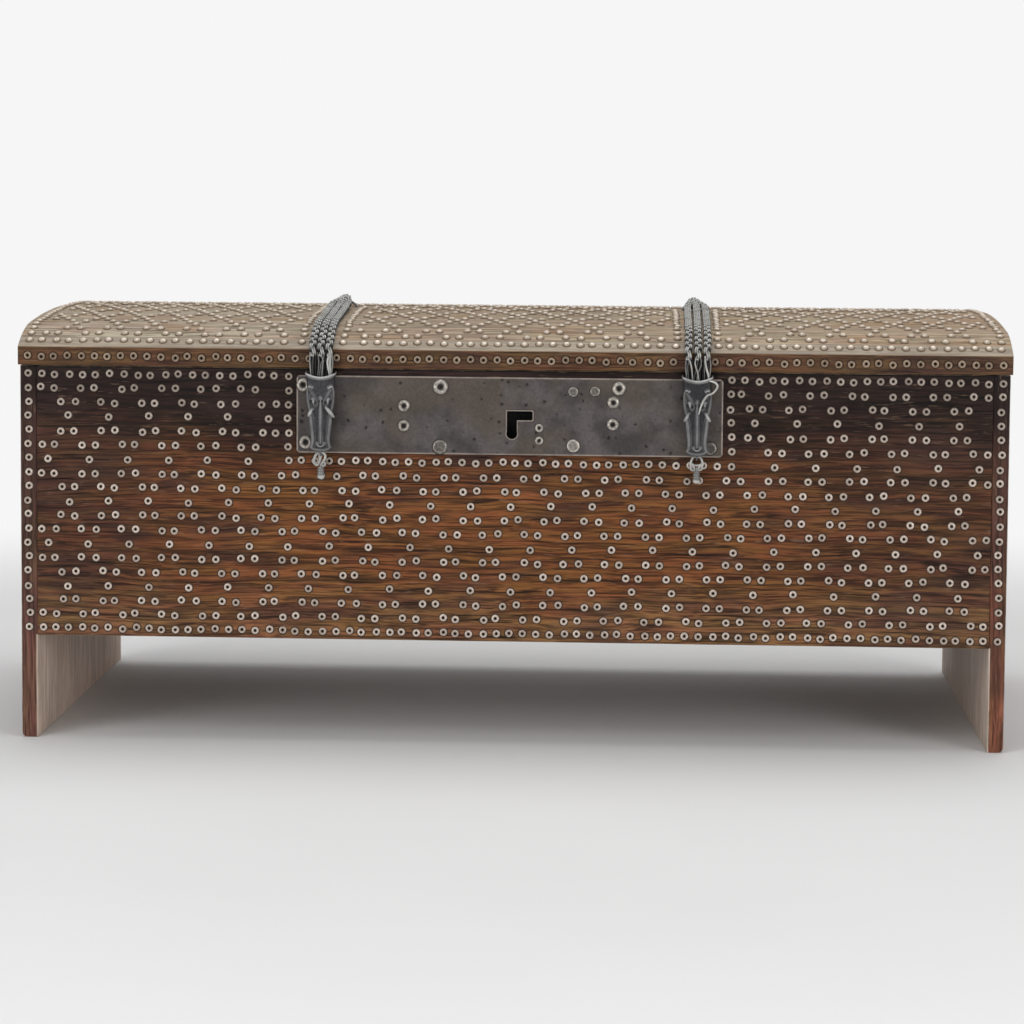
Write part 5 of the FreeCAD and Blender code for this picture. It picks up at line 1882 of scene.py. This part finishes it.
@dataclass(frozen=True)
class Studio:
    """The pale round stage, the lights and the camera."""

    floor_radius: float = 6.0
    rise: float = 1.6
    wall: float = 5.0
    fade: tuple[float, float] = (0.9, 2.0)
    sky: float = 0.42
    eye: tuple[float, float, float] = (0.16457, -3.66342, 0.68432)
    yaw: float = 0.04823
    pitch: float = 0.07923
    roll: float = 0.00719
    lens: float = 103.31
    shift: float = -0.1172

    def build(self) -> None:
        """Make the stage, the lights and the camera."""
        self.stage()
        self.lights()
        self.camera()

    def stage(self) -> None:
        """A round pale floor that curves up into a wall."""
        bm = bmesh.new()
        line = [bm.verts.new((0, 0, 0)), bm.verts.new((self.floor_radius, 0, 0))]
        for step in range(1, 9):
            angle = math.pi / 2 * step / 8
            out = self.floor_radius + self.rise * math.sin(angle)
            line.append(bm.verts.new((out, 0, self.rise * (1 - math.cos(angle)))))
        line.append(bm.verts.new((self.floor_radius + self.rise, 0, self.wall)))
        spun(bm, line, 64)
        floor = shown("stage", to_mesh(bm, "stage"))
        floor.data.flip_normals()
        material, net, shader = new_material("pale paper")
        paper = net.noise(net.place(), 3, 3)
        colour = net.mix(paper, rgb(232, 232, 232), rgb(238, 238, 238))
        net.fill(shader, {"Base Color": colour, "Roughness": 0.9})
        seen = net.add("ShaderNodeLightPath").outputs["Is Camera Ray"]
        flat = net.vector("MULTIPLY", net.place(), (1, 1, 0))
        away = net.add("ShaderNodeVectorMath", {0: flat}, operation="LENGTH").outputs["Value"]
        white = net.add("ShaderNodeEmission", {"Color": rgb(246, 246, 246)}).outputs[0]
        share = net.math("MULTIPLY", net.between(away, *self.fade), seen)
        mixed = net.add("ShaderNodeMixShader", {0: share, 1: shader.outputs[0], 2: white}).outputs[0]
        net.fill(material.node_tree.nodes["Material Output"], {"Surface": mixed})
        floor.data.materials.append(material)

    def lights(self) -> None:
        """Soft studio light from above and in front, with a paler sky."""
        # Each lamp: name, place, width, power and where it aims
        for name, place, size, power, aim in (
            ("key", (-1.6, -2.6, 2.6), 2.2, 21, (0, 0, 0.3)),
            ("fill", (2.4, -2.6, 0.8), 1.6, 33, (-0.3, 0, 0.1)),
            ("side", (-2.4, -2.5, 0.7), 1.4, 21, (0.3, 0, 0.1)),
            ("top", (0.2, 0.4, 3.2), 2.6, 44, (0, 0, 0.3)),
        ):
            light = bpy.data.lights.new(name, "AREA")
            light.shape = "DISK"
            light.size = size
            light.energy = power
            lamp = shown(name, light)
            lamp.location = place
            lamp.rotation_euler = (Vector(aim) - Vector(place)).to_track_quat("-Z", "Y").to_euler()
        world = bpy.data.worlds.new("sky")
        world.use_nodes = True
        world.node_tree.nodes["Background"].inputs["Color"].default_value = (1, 1, 1, 1)
        world.node_tree.nodes["Background"].inputs["Strength"].default_value = self.sky
        bpy.context.scene.world = world
        bpy.context.scene.view_settings.view_transform = "Standard"

    def camera(self) -> None:
        """The camera at the photograph's place, angle and lens."""
        flat = math.cos(self.pitch)
        ahead = Vector((-math.sin(self.yaw) * flat, math.cos(self.yaw) * flat, -math.sin(self.pitch)))
        level = Vector((math.cos(self.yaw), math.sin(self.yaw), 0))
        upright = level.cross(ahead)
        right = math.cos(self.roll) * level + math.sin(self.roll) * upright
        up = math.cos(self.roll) * upright - math.sin(self.roll) * level
        data = bpy.data.cameras.new("camera")
        data.sensor_width = 36
        data.lens = self.lens
        data.shift_y = self.shift
        data.dof.use_dof = False
        camera = shown("camera", data)
        turned = Matrix((right, up, -ahead)).transposed().to_4x4()
        camera.matrix_world = Matrix.Translation(self.eye) @ turned
        bpy.context.scene.camera = camera


def main() -> None:
    """Build the chest's visible pieces, then the stage."""
    logging.basicConfig(level=logging.INFO, format="%(name)s: %(message)s")
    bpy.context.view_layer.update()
    hasps = {}
    for side in SIDES:
        low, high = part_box(f"{side}_ferrule")
        hasps[side] = (low.x + high.x) / 2
    woods = {finish: made.build() for finish, made in WOODS.items()}
    metals = {finish: made.build() for finish, made in METALS.items()}
    maker = Maker()
    Box().build(maker, woods, hasps)
    Dome().build(maker, woods)
    StudWork().build(maker, metals["front_studs"], metals["band_studs"], metals["dome_studs"])
    Lock().build(maker, metals["plate"], metals["works"], metals["rivets"], hasps)
    Hinges().build(maker, metals["hinges"], metals["rivets"])
    for side, lean, peak, pitch in (
        ("left", -3.0 * MM, 1.8 * MM, 9.6 * MM),
        ("right", 1.0 * MM, -3.2 * MM, 10.8 * MM),
    ):
        Hasp(side, hasps[side], lean, peak, pitch).build(maker, metals["wire"], metals["cast"])
    Studio().build()
    log.info("%d pieces", maker.count)


END_INNER_FACE = 558 * MM
# Up to this height the legs' inner faces are painted pale, for the light and sheen on them.
LIT_FACE_BELOW = 121.5 * MM
FRONT_FADES = (
    # The front's dark base is painted shade under the lid; this fade brings in the wood's orange lower down.
    Fade(Axis.Z, 0.395, 0.29, rgb(108, 69, 39)),
    Fade(Axis.X, -0.28, -0.56, rgb(66, 44, 35), 0.75),
    Fade(Axis.X, 0.20, 0.50, rgb(68, 46, 35), 0.65),
    Fade(Axis.Z, 0.21, 0.13, rgb(120, 90, 66), 0.65),
)
# Painted shade under the lid's overhang: the top of the front and of the ends darkens towards the lid.
TOP_SHADE = Fade(Axis.Z, 0.345, 0.41, rgb(33, 21, 19))
# A painted shadow line under the lid's edge, along the top of the front and of the ends.
SEAM_SHADOW = Fade(Axis.Z, 0.4365, 0.4385, rgb(9, 7, 7))


def end_wood(side: str, base: Colour, upper: Colour, lit_face: Colour) -> WoodFinish:
    """The finish of one end board, paler on its inner face under the front board, as painted light and
    sheen.

    Args:
        side: left or right.
        base: the wood's colour near the floor.
        upper: its colour above.
        lit_face: the pale colour painted on that inner face for its light and sheen.

    Returns:
        The finish.
    """
    face = SIDES[side] * END_INNER_FACE
    inside = face - SIDES[side] * 1 * MM
    return WoodFinish(
        f"{side} end wood",
        base,
        grain=Axis.Z,
        # Painted shade under the lid at the top of the end board.
        fades=(Fade(Axis.Z, 0.13, 0.24, upper), TOP_SHADE),
        # The legs' inner faces are painted pale as light and sheen; the seam has a painted shadow line.
        covers=(Fade(Axis.X, face, inside, lit_face, top=LIT_FACE_BELOW), SEAM_SHADOW),
        dark=(0.55, 0.5, 0.5),
        light=(1.4, 1.3, 1.24),
        streaks=0.4,
        wear_and_light=rgb(176, 160, 148),
    )


METALS = {
    "plate": IronFinish(
        "plate iron", rgb(62, 56, 56), rgb(92, 86, 85), rgb(164, 152, 142),
        breaks=0.5, tints=0.7, speckle=0.1, pits=0.8, relief=0.3,
    ),
    # Works: near black, painted as the shade seen inside the keyhole and slots.
    "works": IronFinish("works iron", rgb(14, 13, 12), rgb(24, 22, 21), rgb(60, 56, 52), roughness=0.75),
    # Cast: the pale colour on its raised work is rubbed wear and painted highlights.
    "cast": IronFinish(
        "cast iron", rgb(38, 37, 40), rgb(58, 57, 61), rgb(202, 201, 200),
        pits=0.3, breaks=0.35, metallic=0.25,
    ),
    # Wire: near black where its shine is low, as painted shade, pale where high: rubbed wear and painted
    # highlights.
    "wire": IronFinish(
        "iron wire", rgb(20, 20, 22), rgb(32, 32, 33), rgb(208, 207, 202),
        pits=0.2, breaks=0.3, roughness=0.5,
    ),
    "hinges": IronFinish("hinge iron", rgb(40, 37, 35), rgb(72, 66, 60), rgb(120, 112, 104)),
    # Front studs: dark skirt and dimple are grime and painted shade; heads high up get painted shade under
    # the lid.
    "front_studs": HeadFinish(
        "stud metal", rgb(228, 211, 197), rgb(170, 152, 138), rgb(20, 14, 11), lid_shade=0.66
    ),
    # Band studs: dark skirt and dimple are grime and painted shade.
    "band_studs": HeadFinish("band stud metal", rgb(176, 154, 132), rgb(130, 108, 88), rgb(16, 12, 10)),
    # Dome studs: the pale metal partly paints their highlights, the skirt colour the shadow under each head.
    "dome_studs": HeadFinish(
        "dome stud metal", rgb(226, 212, 196), rgb(190, 176, 158), rgb(104, 86, 66),
        metallic=0.3, roughness=0.35,
    ),
    # Rivets: the dark colour is grime and painted shade in their dimples and round their rims.
    "rivets": HeadFinish(
        "rivet metal", rgb(208, 200, 190), rgb(86, 81, 76), rgb(22, 20, 19),
        blotches=0.5, metallic=0.6, roughness=0.3,
    ),
}
WOODS = {
    # Front: painted shade under the lid at the top, and a painted shadow line at the seam.
    "front": WoodFinish("front wood", rgb(33, 21, 19), fades=(*FRONT_FADES, TOP_SHADE), covers=(SEAM_SHADOW,)),
    "left_end": end_wood("left", rgb(106, 76, 66), rgb(78, 56, 48), rgb(206, 184, 168)),
    "right_end": end_wood("right", rgb(122, 82, 62), rgb(84, 60, 50), rgb(200, 182, 168)),
    "inner": WoodFinish("inner wood", rgb(104, 80, 62), roughness=0.7),
    "inner_across": WoodFinish("inner wood across", rgb(104, 80, 62), grain=Axis.Y, roughness=0.7),
    "rail": WoodFinish(
        "band wood",
        rgb(96, 70, 50),
        fades=(Fade(Axis.X, 0.2, 0.5, rgb(80, 60, 48), 0.7),),
        # The band's top edge takes the dome's pale colour: dust and painted light, as on the dome.
        covers=(Fade(Axis.Z, 0.4612, 0.4628, rgb(160, 148, 132)),),
        dark=(0.6, 0.56, 0.54),
        light=(1.4, 1.33, 1.2),
        streaks=0.4,
        wear_and_light=rgb(150, 116, 80),
    ),
    # Dome: pale partly from dust and partly as painted light and sheen on its upward-facing boards.
    "dome": WoodFinish(
        "dome wood",
        rgb(162, 148, 131),
        fades=(
            Fade(Axis.X, -0.1, -0.4, rgb(172, 163, 150), 0.9),
            Fade(Axis.X, 0.1, 0.4, rgb(172, 157, 138), 0.8),
        ),
        dark=(0.66, 0.64, 0.62),
        light=(1.26, 1.24, 1.2),
        red=(1.04, 0.94, 0.92),
        yellow=(1.02, 1.04, 0.95),
        streaks=0.42,
        patch=rgb(156, 118, 82),
        patches=0.4,
        scuff=rgb(196, 186, 174),
        wear_and_light=rgb(180, 168, 150),
        roughness=0.65,
    ),
    "gable": WoodFinish("gable wood", rgb(96, 70, 52), grain=Axis.Y),
}


if __name__ == "__main__":
    main()
